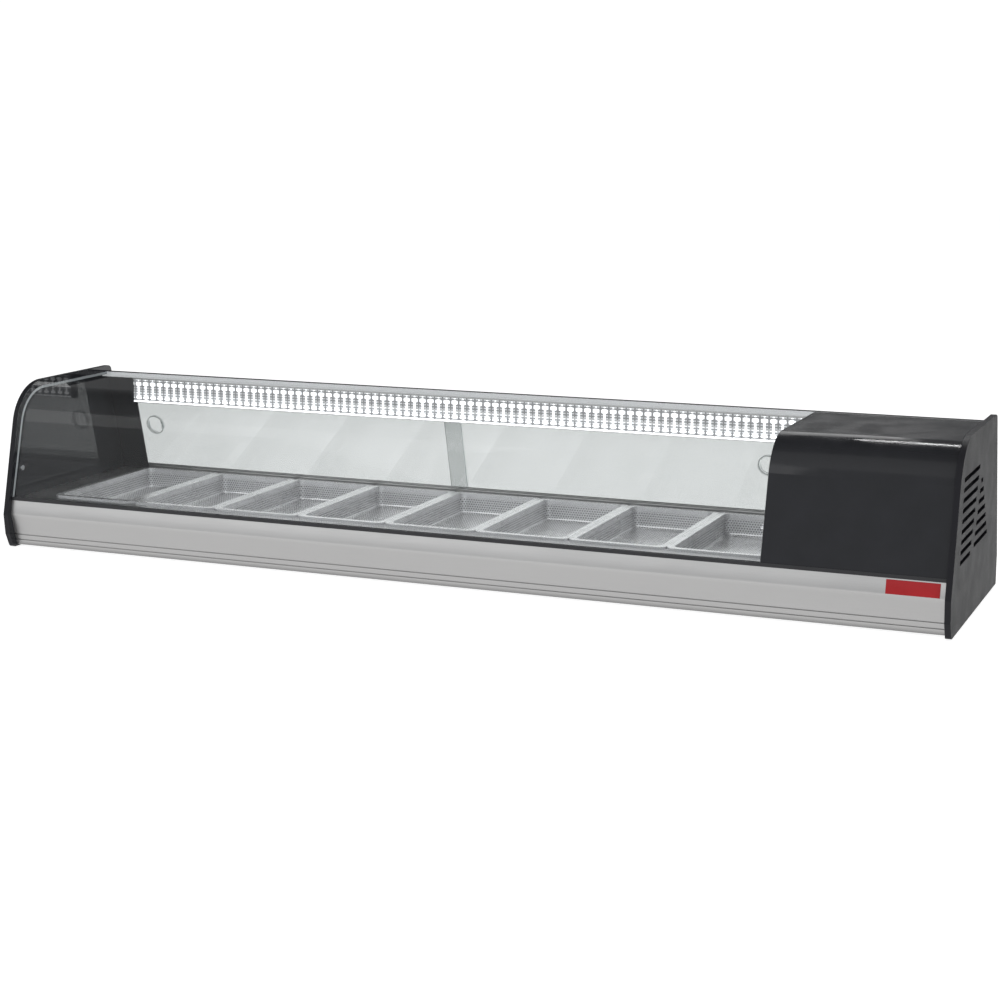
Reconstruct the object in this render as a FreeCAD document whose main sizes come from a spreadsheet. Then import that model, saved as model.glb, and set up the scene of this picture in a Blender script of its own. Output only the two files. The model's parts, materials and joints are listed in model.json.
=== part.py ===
"""Counter-top refrigerated deli case with eight pans, a curved glass front and a compressor end.

Frame: origin at the centre of the footprint on the counter, +X to the right, +Y to the rear
(the serving side), +Z up. Depths are measured from the nose of the end panels.
"""
import FreeCAD, Part
import math
import os
import re
import Sketcher
from FreeCAD import Placement, Rotation, Vector

SIZES = {
    # overall
    "case_length": 1795, "case_depth": 420, "case_height": 310, "panel_thickness": 10,
    "foot_height": 3.5, "foot_radius": 14, "panel_gap": 0.2, "panel_lift": 1,
    # section of the end panels
    "nose_height": 66, "front_slope": 0.25, "top_bend": 92, "rear_lean": 13, "rear_break": 55,
    "rear_corner": 11, "toe_depth": 14, "toe_height": 28, "toe_front": 3, "toe_round": 8,
    # aluminium front and the glass above it
    "alu_bottom": 3.5, "alu_top": 92, "alu_top_depth": 15, "alu_nose_depth": 9, "alu_toe_depth": 24,
    "alu_back": 44, "alu_wall": 2.5, "groove_low": 15.5, "groove_high": 26, "groove_width": 2.6,
    "groove_deep": 1.6, "alu_nose_round": 10, "alu_toe_round": 6,
    "glass_depth": 16, "glass_slope": 0.2721, "glass_top": 298, "glass_thick": 5, "glass_bend": 80,
    "glass_rear": 346, "seat_height": 6, "seat_lip": 1.5, "seat_floor": 2,
    # compartments along the case
    "cooler_end": 585, "bulkhead_thick": 3,
    # cold well
    "sheet_thick": 1.2, "tray_flange": 30, "foam_top": 83, "foam_bottom": 4.9,
    "well_front": 59, "well_rear": 389, "well_left": -868, "well_right": 577, "well_floor": 27,
    "drain_across": -700, "drain_depth": 225, "drain_bore": 7, "drain_wall": 2, "drain_end": 1.5,
    "coil_radius": 4, "coil_height": 33.5, "coil_front": 75, "coil_pitch": 60, "coil_left": -810,
    "coil_right": 530, "line_end": 590, "hole_clear": 0.4,
    # deck and pans
    "pan_count": 8, "pan_pitch": 176.5, "pan_width": 176, "pan_length": 325, "pan_depth": 40,
    "pan_sheet": 0.8, "pan_lip": 3.5, "pan_flange": 10, "pan_corner": 14, "pan_foot_round": 8,
    "pan_draft": 5, "first_pan": -742.25, "pan_centre": 230.5, "deck_opening_gap": 2,
    "deck_front": 24.6, "deck_rear": 396,
    # rear rails, doors and rear skin, in the leaning plane
    "rail_out": -2, "rail_in": -14, "groove_out_a": -3.6, "groove_out_b": -7, "groove_in_a": -9,
    "groove_in_b": -12.4, "low_rail_foot": 36, "low_rail_floor": 42, "low_rail_top": 50,
    "top_rail_foot": 226, "top_rail_roof": 246, "ledge_front": 330, "ledge_thick": 2,
    "door_thick": 3, "door_foot": 42.3, "door_head": 238, "door_overlap_left": -142.5,
    "door_overlap_right": -105.5, "door_play": 1, "grip_radius": 20, "grip_hole": 15,
    "grip_neck": 17.5, "grip_flange": 0.8, "grip_floor": 0.6, "grip_inset": 90,
    "grip_height": 140,
    "post_width": 60, "post_thick": 2, "post_foot": 43.4, "post_head": 244.5,
    "skirt_depth": 413, "skirt_top": 84.5, "skirt_return": 398, "skin_out": -12, "skin_foot": 33.8,
    "skin_head": 225.8, "louvre_length": 110, "louvre_height": 5, "louvre_pitch": 12,
    "louvre_low_count": 6, "louvre_low": 45, "louvre_high_count": 4, "louvre_high": 168,
    # light
    "lamp_rear": 341, "lamp_front": 326, "lamp_foot": 241.8, "lamp_wall": 1.4, "lens_front": 326.4,
    "lens_thick": 3, "lamp_inset": 75, "cap_length": 5.8, "diode_pitch": 16.6667,
    "diode_count": 83, "diode_size": 5,
    "diode_height": 3.5, "diode_thick": 1.6, "diode_low_row": 250.3, "diode_high_row": 277.8,
    # end panel vents
    "vent_count": 9, "vent_pitch": 16.5, "vent_top": 245, "vent_height": 7.5,
    "vent_front_foot": 63, "vent_front_slant": 0.09, "vent_split_foot": 150, "vent_split_slant": 0.47,
    "vent_bar": 28, "vent_rear_count": 7, "vent_rear_top": 218, "vent_rear_foot": 305,
    "vent_rear_slant": -0.576, "vent_foot": 113,
    # compressor compartment
    "compressor_across": 672, "compressor_depth": 230, "compressor_radius": 65,
    "compressor_foot": 24.5, "compressor_height": 165, "base_length": 144, "base_width": 180,
    "base_thick": 2.5, "grommet_radius": 9, "stub_top": 196, "stub_radius": 6,
    "condenser_across": 862, "fin_width": 34, "fin_length": 180, "fin_height": 180,
    "fin_thick": 0.8, "fin_pitch": 9, "fin_count": 20, "fin_low": 45, "fin_front": 140,
    "tube_radius": 4, "tube_pitch": 30, "tube_low": 60,
    "fan_across": 812, "fan_depth": 230, "fan_height": 135, "fan_radius": 72, "fan_tip_gap": 6,
    "fan_hub": 20, "shroud_across": 836, "shroud_size": 192, "shroud_collar": 24, "motor_radius": 30,
    "shaft_radius": 3, "shaft_clear": 0.05, "blade_count": 5, "blade_pitch_angle": 28,
    "blade_thick": 1.6, "blade_width": 34, "blade_root": 3,
    "drier_across": 745, "drier_length": 85, "drier_radius": 11, "drier_depth": 370,
    # controls and fittings
    "control_across": 690, "control_rise": 140, "bezel_width": 76, "bezel_height": 34,
    "bezel_thick": 3, "control_deep": 55, "button_radius": 3, "button_travel": 0.8,
    "switch_across": 790, "switch_pitch": 36, "switch_width": 20, "switch_height": 34,
    "switch_rim": 2, "switch_deep": 18, "switch_mouth": 28.4,
    "rocker_width": 12.6, "rocker_tilt": 8, "rocker_pin": 1.2,
    "gland_across": 840, "gland_height": 45, "gland_bore": 4, "gland_neck": 8,
    "badge_left": 792, "badge_width": 86, "badge_thick": 1.2, "stud_depth": 46.5,
    "stud_height": 150, "stud_radius": 5, "stud_length": 6, "screw_radius": 1.95, "screw_head": 3.5,
}

doc = FreeCAD.newDocument("deli_case")
sheet = doc.addObject("Spreadsheet::Sheet", "Sizes")
for row, (alias, size) in enumerate(SIZES.items(), 1):
    sheet.set(f"A{row}", alias)
    sheet.set(f"B{row}", str(size))
    sheet.setAlias(f"B{row}", alias)
doc.recompute()

parts = []
FUNCTIONS = {"sin", "cos", "tan", "sqrt"}


# ---- sheet expressions ------------------------------------------------------------------------

def bind(text):
    """Turn an expression written with bare size names into one that reads the sheet."""
    return re.sub(r"[a-z_]{2,}", lambda w: w[0] if w[0] in FUNCTIONS else "Sizes." + w[0], str(text))


def value(text):
    """The number that an expression gives now."""
    return float(sheet.evalExpression(bind(text)))


def deep(depth):
    """Y of a point at this depth behind the nose of the end panels."""
    return f"({depth}) - case_depth / 2"


def lean_y(out, rise):
    """Y of a point in the leaning rear plane, out from the panels' rear edge and up from its foot."""
    return f"case_depth / 2 - ({rise}) * sin(rear_lean) + ({out}) * cos(rear_lean)"


def lean_z(out, rise):
    """Z of the same point."""
    return f"rear_break + ({rise}) * cos(rear_lean) + ({out}) * sin(rear_lean)"


def lean(out, rise):
    return (lean_y(out, rise), lean_z(out, rise))


def place(item, x="0", y="0", z="0", rotation=None):
    """Bind the position of an object to the sheet and turn it if asked."""
    if rotation is not None:
        item.Placement = Placement(Vector(0, 0, 0), rotation)
    for axis, text in (("x", x), ("y", y), ("z", z)):
        item.setExpression(f"Placement.Base.{axis}", bind(text))
    return item


def keep(item, name):
    """Label a finished sub-part with its node's name."""
    item.Label = name
    parts.append(item)
    return item


# ---- primitives and booleans ------------------------------------------------------------------

def box(name, x, y, z, length, width, height, rotation=None):
    item = doc.addObject("Part::Box", name)
    for side, text in (("Length", length), ("Width", width), ("Height", height)):
        item.setExpression(side, bind(text))
    return place(item, x, y, z, rotation)


ALONG = {"X": Rotation(Vector(0, 1, 0), 90), "Y": Rotation(Vector(1, 0, 0), -90), "Z": Rotation()}


def rod(name, x, y, z, radius, length, along="Z"):
    item = doc.addObject("Part::Cylinder", name)
    item.setExpression("Radius", bind(radius))
    item.setExpression("Height", bind(length))
    return place(item, x, y, z, ALONG[along])


def fuse(name, items):
    item = doc.addObject("Part::MultiFuse", name)
    item.Shapes = items
    return item


def group(name, items):
    item = doc.addObject("Part::Compound", name)
    item.Links = items
    return item


def cut(name, base, tools):
    item = doc.addObject("Part::Cut", name)
    item.Base = base
    item.Tool = tools[0] if len(tools) == 1 else fuse(name + "_tools", tools)
    return item


# ---- sketched bodies --------------------------------------------------------------------------

def sketch_on(body, plane, name):
    sketch = body.newObject("Sketcher::SketchObject", name)
    support = next(item for item in body.Origin.OriginFeatures if item.Role == plane)
    sketch.AttachmentSupport = [(support, "")]
    sketch.MapMode = "FlatFace"
    return sketch


def draw_loop(sketch, points):
    """Closed outline through points given as pairs of expressions, each point bound to the sheet."""
    spots = [Vector(value(x), value(y), 0) for x, y in points]
    first = sketch.GeometryCount
    for i, spot in enumerate(spots):
        sketch.addGeometry(Part.LineSegment(spot, spots[(i + 1) % len(spots)]), False)
    for i, (x, y) in enumerate(points):
        line = first + i
        after = first + (i + 1) % len(points)
        sketch.addConstraint(Sketcher.Constraint("Coincident", line, 2, after, 1))
        for kind, text in (("DistanceX", x), ("DistanceY", y)):
            number = sketch.addConstraint(Sketcher.Constraint(kind, -1, 1, line, 1, value(text)))
            sketch.setExpression(f"Constraints[{number}]", bind(text))


def rectangle(x0, y0, x1, y1):
    return [(x0, y0), (x1, y0), (x1, y1), (x0, y1)]


def pad(body, sketch, length, name, backwards=False):
    feature = body.newObject("PartDesign::Pad", name)
    feature.Profile = sketch
    feature.setExpression("Length", bind(length))
    feature.Reversed = backwards
    return feature


def pocket_through(body, loops, plane, name):
    """Cut outlines right through a body, both ways from one of its origin planes."""
    doc.recompute()
    before = body.Shape.Volume
    sketch = sketch_on(body, plane, name + "_sketch")
    for points in loops:
        draw_loop(sketch, points)
    feature = body.newObject("PartDesign::Pocket", name)
    feature.Profile = sketch
    feature.Midplane = True
    feature.Type = "ThroughAll"
    doc.recompute()
    if body.Shape.Volume >= before:
        raise RuntimeError(f"{name} cuts nothing")
    return feature


def round_edges(body, spots, radius, name):
    """Fillet the edges that run along X through the given section points."""
    doc.recompute()
    tip = body.Tip
    wanted = [(value(y), value(z)) for y, z in spots]
    names = []
    for number, edge in enumerate(tip.Shape.Edges, 1):
        ends = [(v.Point.y, v.Point.z) for v in edge.Vertexes]
        along = len(ends) == 2 and abs(ends[0][0] - ends[1][0]) + abs(ends[0][1] - ends[1][1]) < 1e-4
        if along and any(abs(ends[0][0] - y) + abs(ends[0][1] - z) < 0.01 for y, z in wanted):
            names.append(f"Edge{number}")
    feature = body.newObject("PartDesign::Fillet", name)
    feature.Base = (tip, names)
    feature.setExpression("Radius", bind(radius))
    return feature


def section(name, points, x, length):
    """A body with one section across the case, run along X."""
    body = doc.addObject("PartDesign::Body", name)
    sketch = sketch_on(body, "YZ_Plane", name + "_section")
    draw_loop(sketch, points)
    pad(body, sketch, length, name + "_run")
    return place(body, x=x)


def leaning(name, loops, thickness, out, x="0"):
    """A flat sheet in the leaning rear plane: sketch x runs along the case, sketch y up the lean."""
    body = doc.addObject("PartDesign::Body", name)
    sketch = sketch_on(body, "XZ_Plane", name + "_outline")
    for points in loops:
        draw_loop(sketch, points)
    pad(body, sketch, thickness, name + "_sheet")
    place(body, x, *lean(out, "0"), rotation=Rotation(Vector(1, 0, 0), SIZES["rear_lean"]))
    body.setExpression("Placement.Rotation.Angle", bind("rear_lean"))
    return body


def leaning_box(name, x, out, rise, length, thickness, height):
    """A box in the leaning rear plane, with its rear face at this distance out."""
    spot = lean(f"({out}) - ({thickness})", rise)
    turn = Rotation(Vector(1, 0, 0), SIZES["rear_lean"])
    item = box(name, x, *spot, length, thickness, height, turn)
    item.setExpression("Placement.Rotation.Angle", bind("rear_lean"))
    return item


def leaning_rod(name, x, out, rise, radius, length):
    """A cylinder square to the leaning rear plane, with its rear end at this distance out."""
    turn = Rotation(Vector(-1, 0, 0), 90 - SIZES["rear_lean"])
    item = doc.addObject("Part::Cylinder", name)
    item.setExpression("Radius", bind(radius))
    item.setExpression("Height", bind(length))
    place(item, x, *lean(f"({out}) - ({length})", rise), rotation=turn)
    item.setExpression("Placement.Rotation.Angle", bind("90 - rear_lean"))
    return item


def bent_tube(name, route, radius, bend):
    """A tube along straight runs joined by tangent bends."""
    spots = [Vector(*(value(part) for part in spot)) for spot in route]
    bend = value(bend)
    edges = []
    start = spots[0]
    for before, corner, after in zip(spots, spots[1:], spots[2:]):
        into = (corner - before).normalize()
        away = (after - corner).normalize()
        reach = bend * math.tan(into.getAngle(away) / 2)
        leave = corner - into * reach
        join = corner + away * reach
        middle = corner + (away - into).normalize() * (math.hypot(reach, bend) - bend)
        if (leave - start).Length > 1e-6:
            edges.append(Part.LineSegment(start, leave).toShape())
        edges.append(Part.Arc(leave, middle, join).toShape())
        start = join
    edges.append(Part.LineSegment(start, spots[-1]).toShape())
    wire = Part.Wire(edges)
    ring = Part.Wire(Part.makeCircle(value(radius), spots[0], spots[1] - spots[0]))
    item = doc.addObject("Part::Feature", name)
    item.Shape = wire.makePipeShell([ring], True, False)
    return item


# ---- casing -----------------------------------------------------------------------------------

LEDGE = "glass_top - glass_thick - ledge_thick - panel_gap"
TRAY_TOP = "alu_bottom + sheet_thick"
DECK_TOP = "alu_top + sheet_thick"
SEAT = "alu_top + seat_floor"
INNER_LEFT = "panel_thickness + panel_gap - case_length / 2"
INNER_LENGTH = "case_length - 2 * panel_thickness - 2 * panel_gap"
COOLER_LENGTH = f"cooler_end - panel_gap - ({INNER_LEFT})"
GLASS_RISE = "glass_thick * sqrt(1 + glass_slope * glass_slope)"


def glass_y(height, inset="0"):
    """Y of the glass's sloping outer face at this height, moved inwards by the inset."""
    return deep(f"glass_depth + (({height}) - alu_top) * glass_slope + ({inset})")


def end_panel_outline():
    nose_top = "(case_height - nose_height) * front_slope"
    rear_top = "case_depth - (case_height - rear_break) * tan(rear_lean)"
    return [(deep("toe_depth"), "panel_lift"), (deep("toe_front"), "toe_height"), (deep("0"), "nose_height"),
            (deep(nose_top), "case_height"), (deep(rear_top), "case_height"),
            (deep("case_depth"), "rear_break"), (deep("case_depth"), "panel_lift")]


def end_panel(name, x):
    outline = end_panel_outline()
    body = section(name, outline, x, "panel_thickness")
    round_edges(body, [outline[3]], "top_bend", name + "_bend")
    round_edges(body, [outline[4]], "rear_corner", name + "_rear_corner")
    round_edges(body, [outline[0]], "toe_round", name + "_toe")
    return body


def vent_loops():
    """Two columns of slots parted by a slanted bar, wider towards the foot of the panel."""
    loops = []
    for i in range(int(SIZES["vent_count"])):
        low = f"vent_top - {i} * vent_pitch - vent_height / 2"
        climb = f"(vent_top - {i} * vent_pitch - vent_foot)"
        front = deep(f"vent_front_foot + vent_front_slant * {climb}")
        split = deep(f"vent_split_foot + vent_split_slant * {climb}")
        loops.append(rectangle(front, low, split, f"{low} + vent_height"))
    for i in range(int(SIZES["vent_rear_count"])):
        low = f"vent_rear_top - {i} * vent_pitch - vent_height / 2"
        climb = f"(vent_rear_top - {i} * vent_pitch - vent_foot)"
        split = deep(f"vent_split_foot + vent_bar + vent_split_slant * {climb}")
        rear = deep(f"vent_rear_foot + vent_rear_slant * {climb}")
        loops.append(rectangle(split, low, rear, f"{low} + vent_height"))
    return loops


def make_end_panels():
    keep(end_panel("end_panel_left", "-case_length / 2"), "end_panel_left")
    right = end_panel("end_panel_right", "case_length / 2 - panel_thickness")
    pocket_through(right, vent_loops(), "YZ_Plane", "end_panel_right_vents")
    keep(right, "end_panel_right")


def front_face(height):
    """Y of the aluminium front below its nose."""
    slope = "(alu_toe_depth - alu_nose_depth) / (nose_height - alu_bottom)"
    return deep(f"alu_toe_depth - (({height}) - alu_bottom) * {slope}")


def make_front_extrusion():
    points = [(front_face("alu_bottom"), "alu_bottom")]
    for groove in ("groove_low", "groove_high"):
        low = f"{groove} - groove_width / 2"
        high = f"{groove} + groove_width / 2"
        points += [(front_face(low), low), (f"{front_face(low)} + groove_deep", low),
                   (f"{front_face(high)} + groove_deep", high), (front_face(high), high)]
    points += [(deep("alu_nose_depth"), "nose_height"), (deep("alu_top_depth"), "alu_top"),
               (deep("alu_back"), "alu_top"), (deep("alu_back"), "alu_bottom")]
    floor = "alu_bottom + alu_wall"
    roof = "alu_top - alu_wall"
    hollow = [(f"{front_face(floor)} + 2 * alu_wall", floor),
              (deep("alu_nose_depth + 1.5 * alu_wall"), "nose_height"),
              (deep("alu_top_depth + alu_wall"), roof),
              (deep("alu_back - alu_wall"), roof), (deep("alu_back - alu_wall"), floor)]
    body = doc.addObject("PartDesign::Body", "front_extrusion")
    sketch = sketch_on(body, "YZ_Plane", "front_extrusion_section")
    draw_loop(sketch, points)
    draw_loop(sketch, hollow)
    pad(body, sketch, INNER_LENGTH, "front_extrusion_run")
    round_edges(body, [points[9]], "alu_nose_round", "front_extrusion_nose")
    round_edges(body, [points[0]], "alu_toe_round", "front_extrusion_toe")
    keep(place(body, x=INNER_LEFT), "front_extrusion")


def make_glass_seat():
    top = "alu_top + seat_height"
    gap = "0.1"
    inside = f"{GLASS_RISE} + {gap}"
    points = [(glass_y("alu_top", "-seat_lip"), "alu_top"), (glass_y(top, "-seat_lip"), top),
              (glass_y(top, f"-{gap}"), top), (glass_y(SEAT, f"-{gap}"), SEAT),
              (glass_y(SEAT, inside), SEAT), (glass_y(top, inside), top),
              (deep("deck_front - panel_gap"), top), (deep("deck_front - panel_gap"), "alu_top")]
    keep(section("glass_seat_strip", points, INNER_LEFT, INNER_LENGTH), "glass_seat_strip")


def curved_sheet(name, x, length):
    """One bent sheet from the seat strip, over the top bend, to the rear rail."""
    outer = (glass_y("glass_top"), "glass_top")
    under = "glass_top - glass_thick"
    inner = (glass_y(under, GLASS_RISE), under)
    points = [(glass_y(SEAT), SEAT), outer, (deep("glass_rear"), "glass_top"),
              (deep("glass_rear"), under), inner, (glass_y(SEAT, GLASS_RISE), SEAT)]
    body = section(name, points, x, length)
    round_edges(body, [outer], "glass_bend", name + "_outer_bend")
    round_edges(body, [inner], "glass_bend - glass_thick", name + "_inner_bend")
    return keep(body, name)


def make_glass_and_cover():
    curved_sheet("curved_front_glass", INNER_LEFT, COOLER_LENGTH)
    cover_length = "case_length / 2 - panel_thickness - cooler_end - 2 * panel_gap"
    curved_sheet("compressor_cover", "cooler_end + panel_gap", cover_length)


def line_hole(name, spot, x, length):
    """A hole along X for one of the two refrigerant lines."""
    return rod(name, x, deep(spot), "coil_height", "coil_radius + hole_clear", length, "X")


COIL_REAR = "coil_front + 5 * coil_pitch"


def make_bulkhead():
    gap = "0.3"
    top = "glass_top - glass_thick - 0.4"
    corner = (glass_y(top, f"{GLASS_RISE} + {gap}"), top)
    shelf = "alu_top + seat_height + 0.2"
    behind = "rail_in - 0.3"
    foot_rise = f"(skirt_top + 0.3 - rear_break - ({behind}) * sin(rear_lean)) / cos(rear_lean)"
    ledge_rise = f"({LEDGE} - 0.2 - rear_break - ({behind}) * sin(rear_lean)) / cos(rear_lean)"
    points = [(deep("alu_back + 1.6"), TRAY_TOP), (deep("alu_back + 1.6"), f"{DECK_TOP}"),
              (deep("deck_front + 0.4"), f"{DECK_TOP}"), (deep("deck_front + 0.4"), shelf),
              corner, (deep("ledge_front - 0.5"), top), (deep("ledge_front - 0.5"), f"{LEDGE} - 0.2"),
              lean(behind, ledge_rise), lean(behind, foot_rise),
              (deep("skirt_return - 0.5"), "skirt_top + 0.3"),
              (deep("skirt_return - 0.5"), "skirt_top - sheet_thick - 0.2"),
              (deep("skirt_depth - 2.7"), "skirt_top - sheet_thick - 0.2"),
              (deep("skirt_depth - 2.7"), TRAY_TOP)]
    body = section("bulkhead_blank", points, "cooler_end", "bulkhead_thick")
    round_edges(body, [corner], "glass_bend - glass_thick - 1", "bulkhead_bend")
    holes = [line_hole(f"bulkhead_hole_{i}", spot, "cooler_end - 1", "bulkhead_thick + 2")
             for i, spot in enumerate(("coil_front", COIL_REAR))]
    keep(cut("compartment_bulkhead", body, holes), "compartment_bulkhead")


# ---- cold well --------------------------------------------------------------------------------

def drain_hole(name, low, high, radius):
    return rod(name, "drain_across", deep("drain_depth"), low, radius, f"({high}) - ({low})")


def make_bottom_tray():
    """A sheet floor with a drain hole and an upturned edge at its front and rear."""
    front = "alu_back + 0.2"
    rear = "skirt_depth - sheet_thick - 0.1"
    blank = box("tray_floor_blank", INNER_LEFT, deep(front), "alu_bottom", INNER_LENGTH,
                f"{rear} - ({front})", "sheet_thick")
    hole = drain_hole("tray_drain_hole", "alu_bottom - 1", "alu_bottom + 3", "drain_bore + 2.5")
    edges = [box(f"tray_edge_{i}", INNER_LEFT, deep(depth), TRAY_TOP, INNER_LENGTH, "sheet_thick",
                 "tray_flange - sheet_thick")
             for i, depth in enumerate((front, f"{rear} - sheet_thick"))]
    keep(group("bottom_tray", [cut("tray_floor", blank, [hole])] + edges), "bottom_tray")


def make_foam():
    """Five boards around the cold well: the floor, the two ends, the front and the rear."""
    front = "alu_back + 1.6"
    rear = "skirt_depth - 2.7"
    full_depth = f"{rear} - ({front})"
    wall = "foam_top - well_floor"
    floor = box("foam_floor_blank", INNER_LEFT, deep(front), "foam_bottom", COOLER_LENGTH,
                full_depth, "well_floor - foam_bottom")
    drain = drain_hole("foam_drain_hole", "foam_bottom - 1", "well_floor + 1",
                       "drain_bore + drain_wall + 0.5")
    end = box("foam_end_blank", "well_right", deep(front), "well_floor",
              f"{INNER_LEFT} + {COOLER_LENGTH} - well_right", full_depth, wall)
    lines = [line_hole(f"foam_hole_{i}", spot, "well_right - 2", "cooler_end - well_right + 4")
             for i, spot in enumerate(("coil_front", COIL_REAR))]
    boards = [cut("foam_floor", floor, [drain]), cut("foam_right_end", end, lines),
              box("foam_left_end", INNER_LEFT, deep(front), "well_floor",
                  f"well_left - ({INNER_LEFT})", full_depth, wall),
              box("foam_front", "well_left", deep(front), "well_floor",
                  "well_right - well_left", f"well_front - ({front})", wall),
              box("foam_rear", "well_left", deep("well_rear"), "well_floor",
                  "well_right - well_left", f"{rear} - well_rear", wall)]
    keep(group("foam_insulation", boards), "foam_insulation")


def make_inner_tub():
    blank = box("tub_blank", "well_left", deep("well_front"), "well_floor",
                "well_right - well_left", "well_rear - well_front", "alu_top - well_floor")
    hollow = box("tub_hollow", "well_left + 1", deep("well_front + 1"), "well_floor + 1",
                 "well_right - well_left - 2", "well_rear - well_front - 2", "case_height")
    tools = [hollow, drain_hole("tub_drain_hole", "well_floor - 1", "well_floor + 2",
                                "drain_bore + drain_wall + 0.1")]
    tools += [line_hole(f"tub_hole_{i}", spot, "well_right - 3", "6")
              for i, spot in enumerate(("coil_front", COIL_REAR))]
    keep(cut("inner_tub", blank, tools), "inner_tub")


def make_drain():
    floor = "well_floor + 1"
    neck = drain_hole("drain_neck", "drain_end", floor, "drain_bore + drain_wall")
    flange = drain_hole("drain_flange", floor, f"{floor} + 1.5", "2 * drain_bore")
    bore = drain_hole("drain_bore_tool", "drain_end - 1", f"{floor} + 3", "drain_bore")
    keep(cut("drain_spout", fuse("drain_blank", [neck, flange]), [bore]), "drain_spout")


def make_evaporator():
    route = [("line_end", deep("coil_front"), "coil_height")]
    for turn in range(5):
        side = "coil_left" if turn % 2 == 0 else "coil_right"
        for step in (turn, turn + 1):
            route.append((side, deep(f"coil_front + {step} * coil_pitch"), "coil_height"))
    route.append(("line_end", deep(COIL_REAR), "coil_height"))
    keep(bent_tube("evaporator_coil", route, "coil_radius", "coil_pitch / 2"), "evaporator_coil")


def make_deck():
    """Perforated strips along the front and rear, a plate at each end, and bars between pans."""
    half_wide = "(pan_width / 2 - pan_flange + deck_opening_gap)"
    half_long = "(pan_length / 2 - pan_flange + deck_opening_gap)"
    near = f"pan_centre - {half_long}"
    far = f"pan_centre + {half_long}"
    right = "cooler_end - panel_gap"
    last = "(first_pan + (pan_count - 1) * pan_pitch)"

    def strip(name, x, u, to_x, to_u):
        return box(name, x, deep(u), "alu_top", f"{to_x} - ({x})", f"{to_u} - ({u})",
                   "sheet_thick")

    strips = [strip("deck_front_strip", INNER_LEFT, "deck_front", right, near),
              strip("deck_rear_strip", INNER_LEFT, far, right, "deck_rear"),
              strip("deck_left_plate", INNER_LEFT, near, f"first_pan - {half_wide}", far),
              strip("deck_right_plate", f"{last} + {half_wide}", near, right, far)]
    for i in range(1, int(SIZES["pan_count"])):
        gap = f"first_pan + ({i} - 0.5) * pan_pitch"
        edge = f"(pan_pitch / 2 - {half_wide})"
        strips.append(strip(f"deck_bar_{i}", f"{gap} - {edge}", near, f"{gap} + {edge}", far))
    keep(group("perforated_deck", strips), "perforated_deck")

def draw_rounded(sketch, width, length, radius):
    """Rounded rectangle about the sketch's origin, every tangent point bound to the sheet."""
    first = sketch.GeometryCount
    corners = [(1, -1), (1, 1), (-1, 1), (-1, -1)]
    spots = []
    for i, (sx, sy) in enumerate(corners):
        across = (f"{sx} * ({width}) / 2", f"{sy} * (({length}) / 2 - ({radius}))")
        onward = (f"{sx} * (({width}) / 2 - ({radius}))", f"{sy} * ({length}) / 2")
        spots += [onward, across] if i % 2 == 0 else [across, onward]
    points = [Vector(value(x), value(y), 0) for x, y in spots]
    size = value(radius)
    for i, (sx, sy) in enumerate(corners):
        start = points[2 * i]
        stop = points[2 * i + 1]
        centre = Vector(sx * (value(width) / 2 - size), sy * (value(length) / 2 - size), 0)
        middle = centre + Vector(sx, sy, 0).normalize() * size
        sketch.addGeometry(Part.Arc(start, middle, stop), False)
        sketch.addGeometry(Part.LineSegment(stop, points[(2 * i + 2) % 8]), False)
    for i in range(8):
        line = first + i
        after = first + (i + 1) % 8
        sketch.addConstraint(Sketcher.Constraint("Coincident", line, 2, after, 1))
        for kind, text in zip(("DistanceX", "DistanceY"), spots[i]):
            number = sketch.addConstraint(Sketcher.Constraint(kind, -1, 1, line, 1, value(text)))
            sketch.setExpression(f"Constraints[{number}]", bind(text))
        if i % 2 == 0:
            number = sketch.addConstraint(Sketcher.Constraint("Radius", line, size))
            sketch.setExpression(f"Constraints[{number}]", bind(radius))


def round_loop(body, height, radius, name):
    """Fillet the loop of edges that lies flat at this height."""
    doc.recompute()
    tip = body.Tip
    names = [f"Edge{number}" for number, edge in enumerate(tip.Shape.Edges, 1)
             if abs(edge.BoundBox.ZMax - height) < 1e-3 and edge.BoundBox.ZLength < 1e-3]
    feature = body.newObject("PartDesign::Fillet", name)
    feature.Base = (tip, names)
    feature.setExpression("Radius", bind(radius))
    return feature


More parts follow.
